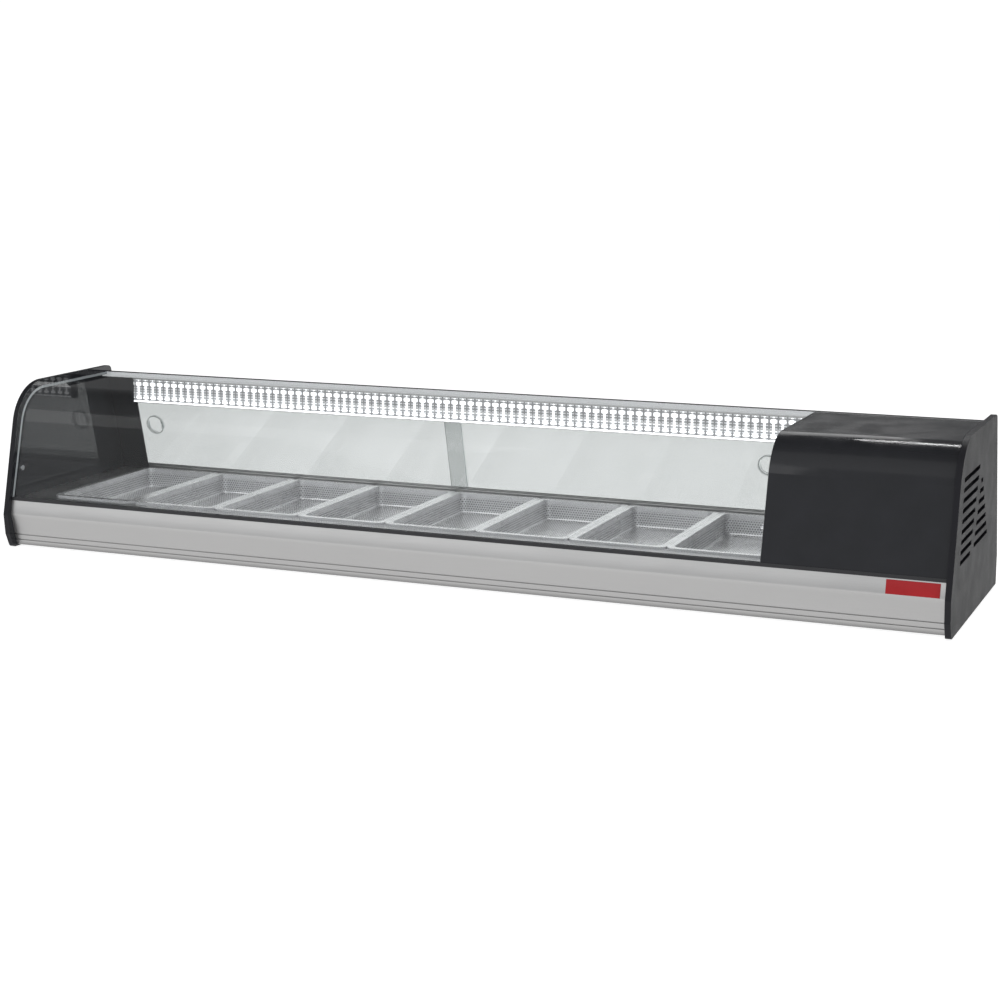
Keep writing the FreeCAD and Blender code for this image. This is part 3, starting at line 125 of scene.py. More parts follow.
class Finish:
    """A material under construction: a Principled shader and the nodes that feed it."""

    def __init__(self, name, **constants):
        self.material = bpy.data.materials.new(name)
        self.material.use_nodes = True
        self.tree = self.material.node_tree
        self.tree.nodes.clear()
        self.output = self.add("OutputMaterial")
        self.shader = self.add("BsdfPrincipled")
        self.show(self.shader.outputs[0])
        coordinates = self.add("TexCoord")
        self.place = coordinates.outputs["Object"]
        self.normal = coordinates.outputs["Normal"]
        self.height = None
        for words, value in constants.items():
            self.shader.inputs[words.replace("_", " ")].default_value = value

    def add(self, kind, **settings):
        node = self.tree.nodes.new("ShaderNode" + kind)
        for key, value in settings.items():
            setattr(node, key, value)
        return node

    def feed(self, socket, value):
        if isinstance(value, bpy.types.NodeSocket):
            self.tree.links.new(value, socket)
        elif isinstance(value, (int, float)) or socket.type == "VECTOR":
            socket.default_value = value
        else:
            socket.default_value = (*value, 1)

    def show(self, shader):
        self.tree.links.new(shader, self.output.inputs["Surface"])

    def math(self, operation, *values):
        node = self.add("Math", operation=operation)
        for socket, value in zip(node.inputs, values):
            self.feed(socket, value)
        return node.outputs[0]

    def axes(self, vector):
        node = self.add("SeparateXYZ")
        self.feed(node.inputs[0], vector)
        return node.outputs

    def range(self, value, low, high, to_low=0.0, to_high=1.0, smooth=True):
        node = self.add("MapRange", interpolation_type="SMOOTHSTEP" if smooth else "LINEAR")
        for socket, given in zip(node.inputs, (value, low, high, to_low, to_high)):
            self.feed(socket, given)
        return node.outputs[0]

    def stretched(self, size, stretch):
        node = self.add("Mapping")
        self.feed(node.inputs["Vector"], self.place)
        node.inputs["Scale"].default_value = [along / size for along in stretch]
        return node.outputs[0]

    def noise(self, size, stretch=(1, 1, 1), detail=3.0, spread=1.0):
        """Noise from 0 to 1 whose blobs are about size across, and 1 / stretch times that."""
        node = self.add("TexNoise")
        self.feed(node.inputs["Vector"], self.stretched(size, stretch))
        node.inputs["Scale"].default_value = 1.0
        node.inputs["Detail"].default_value = detail
        return self.range(node.outputs[0], 0.5 - spread * 0.25, 0.5 + spread * 0.25)

    def cells(self, size, output="Distance"):
        """Cells that are about size across."""
        node = self.add("TexVoronoi")
        self.feed(node.inputs["Vector"], self.stretched(size, (1, 1, 1)))
        node.inputs["Scale"].default_value = 1.0
        return node.outputs[output]

    def tint(self, factor, low, high):
        """A colour between low and high."""
        node = self.add("Mix", data_type="RGBA")
        for index, value in ((0, factor), (6, low), (7, high)):
            self.feed(node.inputs[index], value)
        return node.outputs[2]

    def colour(self, value):
        self.feed(self.shader.inputs["Base Color"], value)

    def overlay(self, factor, value):
        """Blends a colour over the base colour that is there."""
        base = self.shader.inputs["Base Color"].links[0].from_socket
        self.colour(self.tint(factor, base, value))

    def emit(self, colour, strength):
        self.shader.inputs["Emission Color"].default_value = (*colour, 1)
        self.feed(self.shader.inputs["Emission Strength"], strength)

    def roughness(self, value):
        self.feed(self.shader.inputs["Roughness"], value)

    def relief(self, height, depth):
        """Adds a bump of that depth, over the reliefs that came before it."""
        node = self.add("Bump")
        node.inputs["Distance"].default_value = depth
        self.feed(node.inputs["Height"], height)
        if self.height:
            self.feed(node.inputs["Normal"], self.height)
        self.height = node.outputs[0]
        self.feed(self.shader.inputs["Normal"], self.height)

    def mix(self, factor, first, second):
        node = self.add("MixShader")
        for socket, value in zip(node.inputs, (factor, first, second)):
            self.feed(socket, value)
        return node.outputs[0]

    def ellipse(self, across, along, wide, tall):
        """The square of how far a point is out from the middle, 1 on the ellipse."""
        return self.math("ADD", self.math("POWER", self.math("DIVIDE", across, wide), 2),
                         self.math("POWER", self.math("DIVIDE", along, tall), 2))

    def dots(self, across, along, pitch, radius):
        """1 in staggered round holes of that pitch, 0 between them."""
        edge = 0.35 * MM
        row_height = pitch * ROW_PER_PITCH
        rows = self.math("DIVIDE", along, row_height)
        row = self.math("FLOOR", rows)
        shift = self.math("MULTIPLY", self.math("MODULO", self.math("ABSOLUTE", row), 2), 0.5)
        columns = self.math("ADD", self.math("DIVIDE", across, pitch), shift)
        off_across = self.math("SUBTRACT", self.math("FRACT", columns), 0.5)
        off_along = self.math("SUBTRACT", self.math("FRACT", rows), 0.5)
        square = self.math("ADD", self.math("POWER", self.math("MULTIPLY", off_across, pitch), 2),
                           self.math("POWER", self.math("MULTIPLY", off_along, row_height), 2))
        return self.range(self.math("SQRT", square), radius - edge, radius + edge, 1.0, 0.0)


def brushed(name, dark, light, rough, line=0.35 * MM, length=60 * MM, depth=0.02 * MM,
            along="X"):
    """Metal with fine lines along one axis, and broad soft differences of tone."""
    finish = Finish(name, Metallic=1.0)
    stretch = [1.0, 1.0, 1.0]
    stretch["XYZ".index(along)] = line / length
    lines = finish.noise(line, stretch, 2.0, 1.6)
    broad = finish.noise(90 * MM, (0.4, 1, 1), 2.0, 1.2)
    tone = finish.math("ADD", finish.math("MULTIPLY", lines, 0.6),
                       finish.math("MULTIPLY", broad, 0.4))
    finish.colour(finish.tint(tone, dark, light))
    finish.roughness(finish.range(tone, 0, 1, rough - 0.06, rough + 0.08))
    finish.relief(lines, depth)
    return finish


def moulded(name, dark, light, rough, grain=0.7 * MM, depth=0.05 * MM, **constants):
    """Moulded plastic or enamel: a fine grain, and faint smudges in its gloss."""
    finish = Finish(name, **constants)
    fine = finish.noise(grain, detail=2.0)
    smudge = finish.noise(45 * MM, detail=4.0, spread=1.4)
    finish.colour(finish.tint(smudge, dark, light))
    finish.roughness(finish.range(smudge, 0, 1, rough - 0.05, rough + 0.07))
    finish.relief(fine, depth)
    return finish


def anodised_aluminium():
    """Anodised extrusion, with painted shade that makes it darker on its belly and a painted
    shadow along its foot, lighter at its top edge.
    """
    finish = brushed("anodised_aluminium", (0.53, 0.525, 0.52), (0.62, 0.615, 0.61), 0.36)
    height = finish.axes(finish.place)[2]
    # Painted shade: the colour darkens by height over the belly, and a painted shadow darkens the
    # foot.
    painted_belly_shade = finish.range(height, 58 * MM, 88 * MM, 0.5, 0.0)
    painted_foot_shadow = finish.range(height, 4 * MM, 14 * MM, 0.5, 0.0)
    finish.overlay(finish.math("ADD", painted_belly_shade, painted_foot_shadow), (0.24, 0.238, 0.238))
    return finish


def dark_aluminium():
    """Rear top rail: dull black outside, and pale with a painted glow where it faces into the lit
    case.
    """
    finish = Finish("dark_aluminium", Specular_IOR_Level=0.2)
    lines = finish.noise(0.4 * MM, (0.01, 1, 1), 2.0)
    depth = finish.axes(finish.place)[1]
    glass_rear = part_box("curved_front_glass")[1].y
    pale_inner_with_painted_glow = finish.range(depth, glass_rear + 0.4 * MM, glass_rear + 1 * MM, 1.0, 0.0)
    outside = finish.tint(lines, (0.006, 0.006, 0.007), (0.011, 0.011, 0.012))
    finish.colour(finish.tint(pale_inner_with_painted_glow, outside, finish.tint(lines, (0.66,) * 3, (0.74,) * 3)))
    finish.roughness(finish.range(lines, 0, 1, 0.42, 0.55))
    finish.relief(lines, 0.02 * MM)
    # Painted light: the inner face glows faintly, standing in for the lamp's light inside the
    # case.
    finish.emit((0.95, 0.97, 1), finish.math("MULTIPLY", pale_inner_with_painted_glow, 0.28))
    return finish


def stainless_steel():
    return brushed("stainless_steel", (0.52, 0.52, 0.53), (0.68, 0.68, 0.69), 0.3, 0.3 * MM,
                   depth=0.01 * MM)


def chromed_steel():
    return brushed("chromed_steel", (0.74, 0.74, 0.76), (0.86, 0.86, 0.88), 0.14,
                   depth=0.005 * MM)


def fin_aluminium():
    return brushed("fin_aluminium", (0.62, 0.63, 0.64), (0.78, 0.79, 0.80), 0.32, along="Z")


def pan_steel():
    """Bright pressed steel, with staggered perforations in the walls and floor of the pan."""
    finish = brushed("pan_steel", (0.76, 0.76, 0.77), (0.88, 0.88, 0.89), 0.27, 0.3 * MM,
                     depth=0.01 * MM, along="Y")
    low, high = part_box("pan_1")
    x, y, z = finish.axes(finish.place)
    facing_x, _, facing_z = finish.axes(finish.normal)
    flat = finish.range(finish.math("ABSOLUTE", facing_z), 0.68, 0.72)
    side = finish.range(finish.math("ABSOLUTE", facing_x), 0.68, 0.72)
    across = finish.math("ADD", finish.math("MULTIPLY", x, finish.math("SUBTRACT", 1.0, side)),
                         finish.math("MULTIPLY", y, side))
    along = finish.math("ADD", finish.math("MULTIPLY", y, flat),
                        finish.math("MULTIPLY", z, finish.math("SUBTRACT", 1.0, flat)))
    below_rim = finish.range(z, high.z - 9 * MM, high.z - 8 * MM, 1.0, 0.0)
    above_bend = finish.range(z, low.z + 5 * MM, low.z + 6 * MM)
    inside = finish.math("MULTIPLY", below_rim, finish.math("MAXIMUM", flat, above_bend))
    dots = finish.dots(across, along, PERFORATION_PITCH, PAN_HOLE)
    holes = finish.math("MULTIPLY", inside, dots)
    finish.overlay(holes, (0.10, 0.10, 0.105))
    finish.feed(finish.shader.inputs["Metallic"], finish.range(holes, 0, 1, 0.75, 0.15))
    finish.relief(holes, -0.2 * MM)
    return finish


def galvanised_steel():
    """Zinc spangle: dull crystal patches of slightly different greys."""
    finish = Finish("galvanised_steel", Metallic=1.0)
    patches = finish.axes(finish.cells(9 * MM, "Color"))[0]
    finish.colour(finish.tint(patches, (0.40, 0.42, 0.43), (0.58, 0.60, 0.61)))
    finish.roughness(finish.range(patches, 0, 1, 0.34, 0.52, smooth=False))
    finish.relief(finish.noise(2 * MM), 0.03 * MM)
    return finish


def dark_steel():
    return moulded("dark_steel", (0.018, 0.018, 0.02), (0.03, 0.03, 0.033), 0.42, 1.2 * MM,
                   0.08 * MM, Coat_Weight=0.15, Coat_Roughness=0.3)


def charcoal_plastic():
    """Black sheet: satin on the case's ends, polished where it faces in, dark on its edges."""
    finish = Finish("charcoal_plastic", Specular_IOR_Level=0.22)
    smudge = finish.noise(45 * MM, detail=4.0, spread=1.4)
    across = finish.axes(finish.place)[0]
    facing = finish.axes(finish.normal)[0]
    outward = finish.math("MULTIPLY", finish.math("SIGN", across), facing)
    inside = finish.range(outward, -0.9, -0.8, 1.0, 0.0)
    edge = finish.range(finish.math("ABSOLUTE", facing), 0.5, 0.6, 1.0, 0.0)
    skin = finish.tint(smudge, (0.008, 0.0083, 0.0095), (0.012, 0.0124, 0.014))
    lining = finish.tint(smudge, (0.013, 0.0135, 0.016), (0.018, 0.019, 0.022))
    skin = finish.tint(inside, skin, lining)
    finish.colour(finish.tint(edge, skin, (0.008, 0.008, 0.011)))
    polish = finish.math("MAXIMUM", inside, finish.math("MULTIPLY", edge, 0.3))
    rough = finish.range(smudge, 0, 1, 0.5, 0.58)
    finish.roughness(finish.math("MULTIPLY", rough, finish.range(polish, 0, 1, 1.0, 0.05)))
    fine = finish.math("MULTIPLY", finish.noise(0.7 * MM, detail=2.0),
                       finish.math("SUBTRACT", 1.0, inside))
    finish.relief(fine, 0.05 * MM)
    return finish


def black_gloss():
    """Back-painted black glass with a slight waviness."""
    finish = moulded("black_gloss", (0.010, 0.0105, 0.013), (0.013, 0.0135, 0.017), 0.17,
                     14 * MM, 0.02 * MM, Specular_IOR_Level=0.36)
    finish.relief(finish.noise(120 * MM, (0.5, 1, 1), 1.0), 0.12 * MM)
    return finish


def black_enamel():
    return moulded("black_enamel", (0.010, 0.010, 0.011), (0.018, 0.018, 0.02), 0.28, 3 * MM,
                   0.12 * MM, Coat_Weight=0.4, Coat_Roughness=0.15)


def black_rubber():
    return moulded("black_rubber", (0.010, 0.010, 0.012), (0.020, 0.020, 0.023), 0.52, 0.5 * MM,
                   0.08 * MM)


def fan_plastic():
    return moulded("fan_plastic", (0.02, 0.02, 0.021), (0.035, 0.035, 0.036), 0.38)


def button_rubber():
    return moulded("button_rubber", (0.12, 0.125, 0.13), (0.18, 0.185, 0.19), 0.6, 0.4 * MM)


def rocker_green():
    finish = moulded("rocker_green", (0.01, 0.26, 0.08), (0.02, 0.36, 0.13), 0.22, 1 * MM,
                     0.02 * MM, Coat_Weight=0.3, Coat_Roughness=0.1)
    finish.emit((0.02, 0.5, 0.15), 0.12)
    return finish


def badge_red():
    """Plain enamelled plate, slightly duller to its top."""
    finish = moulded("badge_red", (0.33, 0.008, 0.011), (0.40, 0.014, 0.018), 0.45, 1.5 * MM,
                     0.02 * MM, Specular_IOR_Level=0.25)
    low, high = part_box("badge_plate")
    height = finish.axes(finish.place)[2]
    finish.overlay(finish.range(height, low.z, high.z), (0.36, 0.016, 0.02))
    return finish


def copper():
    finish = brushed("copper", (0.60, 0.27, 0.15), (0.84, 0.46, 0.30), 0.26, 1.5 * MM, 12 * MM)
    tarnish = finish.noise(24 * MM, detail=5.0, spread=0.9)
    finish.overlay(tarnish, (0.36, 0.16, 0.09))
    return finish


def insulation_foam():
    finish = Finish("insulation_foam", Roughness=0.9)
    bubbles = finish.cells(1.6 * MM)
    finish.colour(finish.tint(finish.noise(30 * MM), (0.74, 0.64, 0.40), (0.86, 0.80, 0.60)))
    finish.relief(bubbles, 0.5 * MM)
    finish.roughness(finish.range(bubbles, 0, 1, 0.8, 0.95))
    return finish


def circuit_board():
    finish = moulded("circuit_board", (0.80, 0.81, 0.80), (0.88, 0.89, 0.88), 0.3, 2 * MM,
                     0.02 * MM)
    tracks = finish.noise(1.6 * MM, (0.05, 1, 1), 0.0, 0.15)
    finish.overlay(tracks, (0.70, 0.72, 0.70))
    return finish


def led_emitter():
    finish = moulded("led_emitter", (0.9, 0.88, 0.7), (0.95, 0.93, 0.8), 0.3)
    finish.emit((0.92, 0.96, 1.0), finish.range(finish.noise(3 * MM), 0, 1, 3, 4))
    return finish


def clear_sheet(name, tint, edge, gloss, milk):
    """A clear sheet: what is behind it shows through, its faces reflect and its ends carry a
    painted glow.

    tint is what one face lets through, gloss scales its reflections, milk is its haze and edge is
    the colour of the painted glow on its ends.
    """
    finish = Finish(name)
    smear = finish.noise(160 * MM, (1, 1, 0.4), 3.0)
    through = finish.add("BsdfTransparent")
    finish.feed(through.inputs["Color"], finish.tint(smear, tint, [0.96 * c + 0.04 for c in tint]))
    shine = finish.add("BsdfGlossy")
    shine.inputs["Roughness"].default_value = 0.02
    finish.feed(shine.inputs["Color"], finish.tint(smear, (0.95,) * 3, (1.0,) * 3))
    bend = finish.add("Fresnel")
    bend.inputs["IOR"].default_value = GLASS_IOR
    inner_side = finish.add("NewGeometry").outputs["Backfacing"]
    front_side = finish.math("SUBTRACT", 1.0, inner_side)
    mirror = finish.math("MULTIPLY", finish.math("MULTIPLY", bend.outputs[0], gloss), front_side)
    pane = finish.mix(mirror, through.outputs[0], shine.outputs[0])
    haze = finish.add("BsdfDiffuse")
    finish.feed(haze.inputs["Color"], finish.tint(smear, (0.80, 0.82, 0.82), (0.88, 0.9, 0.9)))
    pane = finish.mix(milk, pane, haze.outputs[0])
    facing = finish.axes(finish.normal)[0]
    painted_glow_edge = finish.range(finish.math("ABSOLUTE", facing), 0.85, 0.9)
    # Painted light: on its ends the sheet turns to the edge colour and glows faintly, though no
    # lamp lights them.
    finish.colour(finish.tint(finish.noise(20 * MM), edge, [0.9 * c for c in edge]))
    finish.roughness(finish.range(smear, 0, 1, 0.12, 0.3))
    finish.emit(edge, 0.2)
    finish.show(finish.mix(painted_glow_edge, pane, finish.shader.outputs[0]))
    return finish


def toughened_glass():
    # The fourth colour is the painted glow on the glass's ends.
    return clear_sheet("toughened_glass", (0.955, 0.96, 0.96), (0.30, 0.32, 0.33), 0.6, 0.006)


def clear_acrylic():
    # The fourth colour is the painted glow on the sheet's ends.
    return clear_sheet("clear_acrylic", (0.81, 0.822, 0.818), (0.30, 0.34, 0.34), 2.4, 0.05)


def ribbed_acrylic():
    """Lamp lens: bright where its ribs and domes gather the diodes' light, grey between."""
    finish = Finish("ribbed_acrylic", IOR=1.49)
    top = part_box("lamp_lens")[1].z
    x, _, z = finish.axes(finish.place)
    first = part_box("led_diodes")[0].x + LED_HALF_WIDTH
    steps = finish.math("DIVIDE", finish.math("SUBTRACT", x, first - LED_PITCH / 2), LED_PITCH)
    off = finish.math("MULTIPLY", finish.math("SUBTRACT", finish.math("FRACT", steps), 0.5),
                      LED_PITCH)
    across = finish.math("ABSOLUTE", off)
    rib = finish.range(across, 1.3 * MM, 2.7 * MM, 1.0, 0.0)
    uneven = finish.noise(5 * MM, (1, 1, 0.6), 3.0)

    def band(start, end, soft):
        return finish.math("MULTIPLY", finish.range(z, start - soft, start + soft),
                           finish.range(z, end - soft, end + soft, 1.0, 0.0))

    def domes(row, wide, tall):
        square = finish.ellipse(off, finish.math("SUBTRACT", z, row), wide, tall)
        return finish.range(square, 0.45, 1.3, 1.0, 0.0)

    bars = finish.math("MULTIPLY", rib, band(LOW_DOMES, HIGH_DOMES, 1 * MM))
    bars = finish.math("MULTIPLY", bars, finish.range(uneven, 0, 1, 0.7, 1.0))
    chain = finish.math("MAXIMUM", domes(HIGH_DOMES, 6.6 * MM, 4.2 * MM),
                        domes(LOW_DOMES, 6.2 * MM, 3.6 * MM))
    line = finish.range(z, LIGHT_LINE - 0.4 * MM, LIGHT_LINE + LINE_SOFTNESS, 1.0, 0.0)
    pips = domes(top - 2.6 * MM, 2.2 * MM, 1.3 * MM)
    bright = finish.math("MAXIMUM", finish.math("MAXIMUM", bars, chain),
                         finish.math("MAXIMUM", line, finish.math("MULTIPLY", pips, 0.6)))
    rung_pitch = 5.2 * MM
    rungs = finish.math("SINE", finish.math("MULTIPLY", z, 2 * math.pi / rung_pitch))
    rungs = finish.math("MULTIPLY", finish.range(rungs, -0.2, 0.5),
                        finish.range(across, 6.4 * MM, 7.2 * MM, 1.0, 0.0))
    finish.colour(finish.tint(rungs, (0.10, 0.105, 0.115), (0.40, 0.41, 0.43)))
    finish.roughness(finish.range(uneven, 0, 1, 0.12, 0.28))
    grey = finish.math("ADD", 0.24, finish.math("MULTIPLY", rungs, 0.42))
    glow = finish.math("ADD", grey, finish.range(bright, 0, 1, 0.0, 2.4, smooth=False))
    finish.emit((0.97, 0.985, 1.0), glow)
    return finish


def display_window():
    """Smoked window of the thermostat, switched off."""
    return moulded("display_window", (0.006, 0.003, 0.003), (0.012, 0.005, 0.005), 0.12,
                   2 * MM, 0.01 * MM, Coat_Weight=0.6, Coat_Roughness=0.05)


FINISHES = {make.__name__: make().material for make in (
    anodised_aluminium, dark_aluminium, charcoal_plastic, black_gloss, black_rubber,
    toughened_glass, clear_acrylic, ribbed_acrylic, stainless_steel, pan_steel, galvanised_steel,
    dark_steel, insulation_foam, copper, circuit_board, led_emitter, black_enamel, fin_aluminium,
    fan_plastic, button_rubber, rocker_green, badge_red, chromed_steel, display_window)}

# What only glows isn't sampled as a lamp, which keeps the picture clean.
for glowing in ("toughened_glass", "clear_acrylic", "ribbed_acrylic", "led_emitter",
                "rocker_green", "dark_aluminium"):
    FINISHES[glowing].cycles.emission_sampling = "NONE"


def finish_cad_nodes():
    """Gives each CAD node the finish of its material slot."""
    for part in frame["record"]["subparts"]:
        node = frame["nodes"][part["node"]]
        if not node.material_slots:
            node.data.materials.append(None)
        for slot in node.material_slots:
            slot.material = FINISHES[part["material_slot"]]


# ---- pieces -------------------------------------------------------------------------------------

def piece(name, mesh, slot, finish=None, smooth=False):
    """Turns a bmesh into a piece that rides on the case."""
    data = bpy.data.meshes.new(name)
    mesh.normal_update()
    mesh.to_mesh(data)
    mesh.free()
    made = bpy.data.objects.new(name, data)
    bpy.context.scene.collection.objects.link(made)
    data.materials.append(FINISHES[finish or slot])
    for face in data.polygons:
        face.use_smooth = smooth
    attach(made, "case")
    return made


def bridge(mesh, rings):
    """A closed skin through rings of as many points, with a cap at each end."""
    for lower, upper in zip(rings, rings[1:]):
        for i in range(len(lower)):
            after = (i + 1) % len(lower)
            mesh.faces.new((lower[i], lower[after], upper[after], upper[i]))
    mesh.faces.new(rings[-1])
    mesh.faces.new(list(reversed(rings[0])))


def rounded_slab(mesh, width, height, thick, corner, place):
    """A rounded rectangle in the local XY plane, rising thick along local Z, with soft rims."""
    steps = 4
    rim = min(0.35 * thick, 0.6 * MM)
    rings = []
    for inset, level in ((0, 0), (0, thick - rim), (rim * 0.3, thick - rim * 0.3), (rim, thick)):
        ring = []
        for quarter in range(4):
            turn = quarter * math.pi / 2
            sign_x, sign_y = ((1, 1), (-1, 1), (-1, -1), (1, -1))[quarter]
            centre = Vector((sign_x * (width / 2 - corner), sign_y * (height / 2 - corner), level))
            for step in range(steps + 1):
                angle = turn + step / steps * math.pi / 2
                reach = corner - inset
                spot = centre + Vector((reach * math.cos(angle), reach * math.sin(angle), 0))
                ring.append(mesh.verts.new(place @ spot))
        rings.append(ring)
    bridge(mesh, rings)


def perforated_deck():
    """The deck sheet: staggered holes everywhere but at its edges and under the pans."""
    low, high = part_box("perforated_deck")
    pans = [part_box(f"pan_{number}") for number in range(1, PAN_COUNT + 1)]
    columns = round((high.x - low.x) / PERFORATION_PITCH)
    rows = round((high.y - low.y) / (PERFORATION_PITCH * ROW_PER_PITCH))
    wide = (high.x - low.x) / columns
    deep = (high.y - low.y) / rows
    mesh = bmesh.new()
    lattice = {}

    def corner(half_column, half_row):
        key = (half_column, half_row)
        if key not in lattice:
            lattice[key] = mesh.verts.new((low.x + half_column * wide / 2,
                                           low.y + half_row * deep / 2, high.z))
        return lattice[key]

    def in_pan(x, y, inset):
        return any(a.x + inset < x < b.x - inset and a.y + inset < y < b.y - inset
                   for a, b in pans)

    def plain(x, y):
        at_edge = min(x - low.x, high.x - x, y - low.y, high.y - y) < SOLID_EDGE
        return at_edge or in_pan(x, y, -PAN_MARGIN)

    for row in range(rows):
        shift = row % 2
        starts = range(shift, 2 * columns - shift, 2)
        cells = [(start, 2) for start in starts]
        if shift:
            cells += [(0, 1), (2 * columns - 1, 1)]
        for start, span in cells:
            x = low.x + (start + span / 2) * wide / 2
            y = low.y + (row + 0.5) * deep
            if in_pan(x, y, OPENING_INSET):
                continue
            base = 2 * row
            ring = [corner(start + i, base) for i in range(span)]
            ring += [corner(start + span, base), corner(start + span, base + 1)]
            ring += [corner(start + span - i, base + 2) for i in range(span)]
            ring += [corner(start, base + 2), corner(start, base + 1)]
            if span == 1 or plain(x, y):
                mesh.faces.new(ring)
                continue
            hole = []
            for spot in ring:
                direction = Vector((spot.co.x - x, spot.co.y - y, 0)).normalized()
                hole.append(mesh.verts.new(Vector((x, y, high.z)) + direction * DECK_HOLE))
            for i, spot in enumerate(ring):
                after = (i + 1) % len(ring)
                mesh.faces.new((spot, ring[after], hole[after], hole[i]))
    made = piece("deck_sheet", mesh, "stainless_steel")
    thick = made.modifiers.new("sheet", "SOLIDIFY")
    thick.thickness = high.z - low.z
    thick.offset = -1
    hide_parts("perforated_deck")


def lamp_lens():
    """The upright lens of the lamp: a rib over each pair of diodes and a dome over each diode."""
    low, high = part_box("lamp_lens")
    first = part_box("led_diodes")[0].x + LED_HALF_WIDTH
    flat = low.y + LENS_FACE
    columns = round((high.x - low.x) / (LED_PITCH / LENS_COLUMNS_PER_LED))
    mesh = bmesh.new()

    def depth(x, z):
        step = ((x - first) / LED_PITCH + 0.5) % 1 - 0.5
        across = step * LED_PITCH
        rise = 0.0
        if LOW_DOMES < z < HIGH_DOMES:
            rise = RIB_RISE * math.sqrt(max(0.0, 1 - (across / RIB_HALF_WIDTH) ** 2))
        for row, wide, tall in DOMES:
            reach = (across / wide) ** 2 + ((z - row) / tall) ** 2
            rise = max(rise, DOME_RISE * math.sqrt(max(0.0, 1 - reach)))
        roll = (z - low.z) / (LIGHT_LINE + LINE_SOFTNESS - low.z)
        rise = max(rise, ROLL_RISE * math.sqrt(max(0.0, 1 - roll ** 2)))
        return flat - rise

    grid = []
    for column in range(columns + 1):
        x = low.x + (high.x - low.x) * column / columns
        heights = [low.z + (high.z - low.z) * row / LENS_ROWS for row in range(LENS_ROWS + 1)]
        grid.append([mesh.verts.new((x, depth(x, z), z)) for z in heights])
    for left, right in zip(grid, grid[1:]):
        for row in range(LENS_ROWS):
            mesh.faces.new((left[row], right[row], right[row + 1], left[row + 1]))
    rim = ([column[0] for column in grid] + grid[-1][1:]
           + [column[-1] for column in reversed(grid[:-1])] + list(reversed(grid[0][1:-1])))
    back = [mesh.verts.new((v.co.x, high.y, v.co.z)) for v in rim]
    for i, spot in enumerate(rim):
        after = (i + 1) % len(rim)
        mesh.faces.new((spot, back[i], back[after], rim[after]))
    mesh.faces.new(list(reversed(back)))
    made = piece("lamp_lens_ribs", mesh, "ribbed_acrylic", smooth=True)
    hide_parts("lamp_lens")


def panel_screws():
    """Small countersunk screws that hold the end panels to the frame."""
    mesh = bmesh.new()
    for node, outward in (("end_panel_left", -1), ("end_panel_right", 1)):
        low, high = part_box(node)
        face = low.x if outward < 0 else high.x
        turn = Matrix.Rotation(math.radians(90 * outward), 4, "Y")
        for depth, height in SCREW_PLACES:
            spot = Vector((face - outward * SCREW_SUNK, low.y + depth, height))
            screw_head(mesh, Matrix.Translation(spot) @ turn)
    piece("panel_screws", mesh, "chromed_steel", finish="black_enamel")


def screw_head(mesh, place):
    """A low domed head with a round socket, rising along local Z."""
    # Radius as a part of the head's, and height: up the rim, over the dome, down the socket.
    profile = ((1, 0), (1, 0.25 * MM), (0.85, 0.5 * MM), (0.5, 0.6 * MM), (0.45, 0.6 * MM),
               (0.45, 0.1 * MM))
    angles = [2 * math.pi * i / SCREW_SIDES for i in range(SCREW_SIDES)]
    bridge(mesh, [[mesh.verts.new(place @ Vector((part * SCREW_RADIUS * math.cos(angle),
                                                  part * SCREW_RADIUS * math.sin(angle),
                                                  level)))
                   for angle in angles] for part, level in profile])


def thermostat_window():
    """The display window, on the leaning face of the thermostat's bezel."""
    low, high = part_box("thermostat_body")
    lean = Matrix.Rotation(math.radians(-90) + REAR_LEAN, 4, "X")
    outward = Vector((0, math.cos(REAR_LEAN), math.sin(REAR_LEAN)))
    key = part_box("button_up")
    centre = (key[0] + key[1]) / 2
    points = [v.co for v in frame["nodes"]["thermostat_body"].data.vertices]
    face = max((point - centre).dot(outward) for point in points)
    across = (low.x + high.x) / 2 - WINDOW_LEFT_OF_MIDDLE
    spot = Vector((across, centre.y, centre.z)) + outward * (face - WINDOW_SUNK)
    mesh = bmesh.new()
    rounded_slab(mesh, *WINDOW_SIZE, WINDOW_CORNER, Matrix.Translation(spot) @ lean)
    piece("thermostat_window", mesh, "charcoal_plastic", finish="display_window")


def soften_edges():
    """Small bevels on the blocky parts, so that their edges catch the light."""
    for name, width in BEVELS:
        node = frame["nodes"][name]
        weld = node.modifiers.new("weld", "WELD")
        weld.merge_threshold = WELD_DISTANCE
        bevel = node.modifiers.new("bevel", "BEVEL")
        bevel.width = width
        bevel.segments = 2
        bevel.limit_method = "ANGLE"
        bevel.angle_limit = BEVEL_ANGLE


# ---- studio -------------------------------------------------------------------------------------

def studio_floor():
    """A pale floor that stays near white under the case."""
    mesh = bmesh.new()
    bmesh.ops.create_grid(mesh, x_segments=4, y_segments=4, size=FLOOR_HALF_SIDE)
    data = bpy.data.meshes.new("studio_floor")
    mesh.to_mesh(data)
    mesh.free()
    floor = bpy.data.objects.new("studio_floor", data)
    bpy.context.scene.collection.objects.link(floor)
    finish = Finish("studio_floor", Roughness=0.6)
    finish.emit((1, 1, 1), FLOOR_GLOW)
    finish.colour(finish.tint(finish.noise(2.0), (0.48,) * 3, (0.52,) * 3))
    data.materials.append(finish.material)


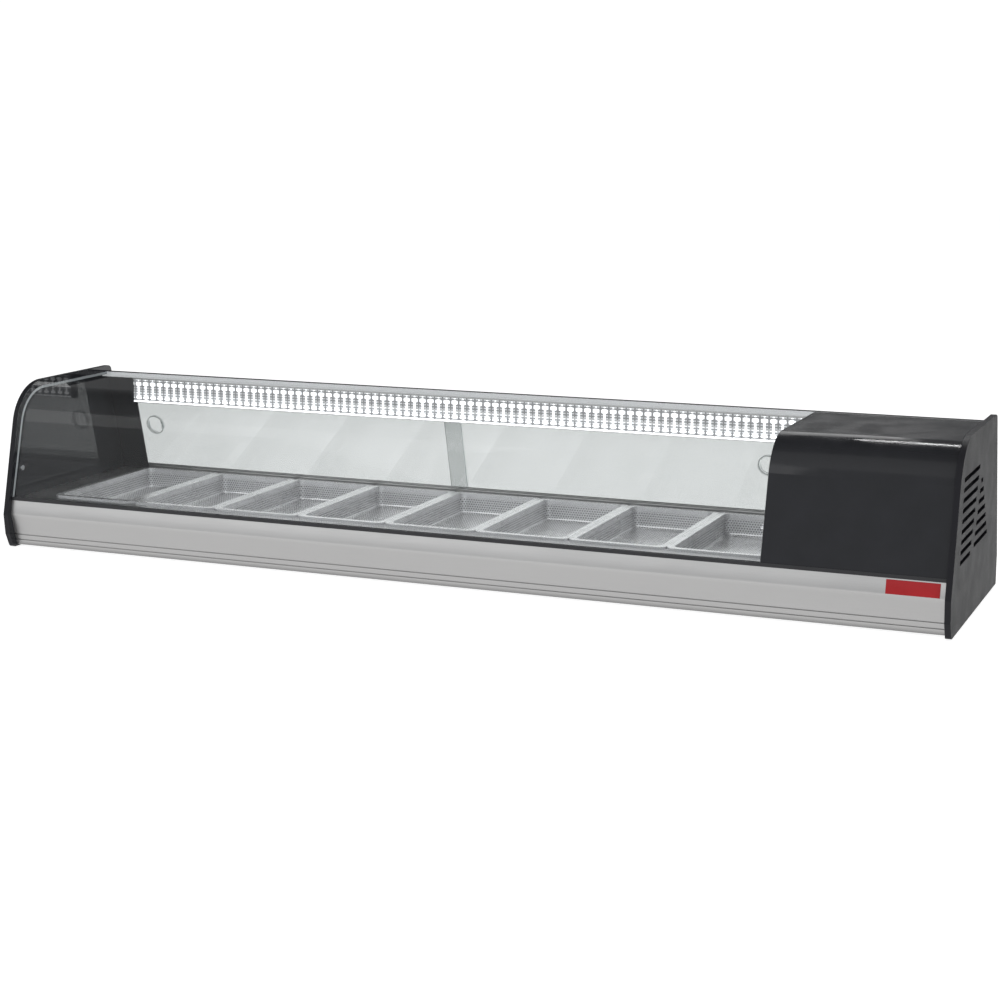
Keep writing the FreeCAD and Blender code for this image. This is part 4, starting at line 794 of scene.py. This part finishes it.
def studio_sky():
    """White behind the case, and a softer room for what the case reflects."""
    world = bpy.data.worlds.new("studio")
    bpy.context.scene.world = world
    world.use_nodes = True
    nodes, links = world.node_tree.nodes, world.node_tree.links
    nodes.clear()
    output = nodes.new("ShaderNodeOutputWorld")
    seen, lit = nodes.new("ShaderNodeBackground"), nodes.new("ShaderNodeBackground")
    seen.inputs["Color"].default_value = (1, 1, 1, 1)
    seen.inputs["Strength"].default_value = SKY_SEEN
    direction = nodes.new("ShaderNodeTexCoord")
    parts = nodes.new("ShaderNodeSeparateXYZ")
    links.new(direction.outputs["Generated"], parts.inputs[0])
    front = nodes.new("ShaderNodeMapRange")
    links.new(parts.outputs["Y"], front.inputs["Value"])
    for socket, value in (("From Min", 0.4), ("From Max", -0.7), ("To Min", SKY_BEHIND),
                          ("To Max", SKY_IN_FRONT)):
        front.inputs[socket].default_value = value
    links.new(front.outputs[0], lit.inputs["Strength"])
    lit.inputs["Color"].default_value = (0.97, 0.985, 1, 1)
    path = nodes.new("ShaderNodeLightPath")
    mix = nodes.new("ShaderNodeMixShader")
    links.new(path.outputs["Is Camera Ray"], mix.inputs[0])
    links.new(lit.outputs[0], mix.inputs[1])
    links.new(seen.outputs[0], mix.inputs[2])
    links.new(mix.outputs[0], output.inputs["Surface"])


def softbox(name, spot, target, width, height, power):
    """An area light that stands at spot and points to target."""
    data = bpy.data.lights.new(name, "AREA")
    data.shape = "RECTANGLE"
    data.size, data.size_y = width, height
    data.energy = power
    light = bpy.data.objects.new(name, data)
    bpy.context.scene.collection.objects.link(light)
    light.location = spot
    away = Vector(spot) - Vector(target)
    light.rotation_euler = away.to_track_quat("Z", "Y").to_euler()
    return light


def lamp_glow():
    """The light that the case's own lamp throws on the pans."""
    low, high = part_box("lamp_lens")
    middle = (low + high) / 2
    spot = (middle.x, low.y - 2 * MM, middle.z)
    aim = (middle.x, low.y - LAMP_AIM_FORWARD, LAMP_AIM_HEIGHT)
    glow = softbox("lamp_glow", spot, aim, high.x - low.x, LAMP_GLOW_WIDTH, LAMP_WATTS)
    glow.visible_camera = False


def studio_lights():
    for light in SOFTBOXES:
        softbox(*light)


def camera():
    """Seen from the front right, a little above, through a long lens."""
    data = bpy.data.cameras.new("camera")
    data.sensor_width = SENSOR_WIDTH
    data.lens = FOCAL_LENGTH
    eye = bpy.data.objects.new("camera", data)
    bpy.context.scene.collection.objects.link(eye)
    forward = Vector((-math.sin(YAW) * math.cos(PITCH), math.cos(YAW) * math.cos(PITCH),
                      -math.sin(PITCH)))
    right = Vector((math.cos(YAW), math.sin(YAW), 0))
    up = right.cross(forward)
    rolled_right = math.cos(ROLL) * right + math.sin(ROLL) * up
    rolled_up = math.cos(ROLL) * up - math.sin(ROLL) * right
    turned = Matrix((rolled_right, rolled_up, -forward)).transposed()
    eye.matrix_world = Matrix.Translation(EYE) @ turned.to_4x4()
    bpy.context.scene.camera = eye


finish_cad_nodes()
perforated_deck()
lamp_lens()
panel_screws()
thermostat_window()
soften_edges()
studio_floor()
studio_sky()
studio_lights()
lamp_glow()
camera()
bpy.context.scene.view_settings.view_transform = "Standard"
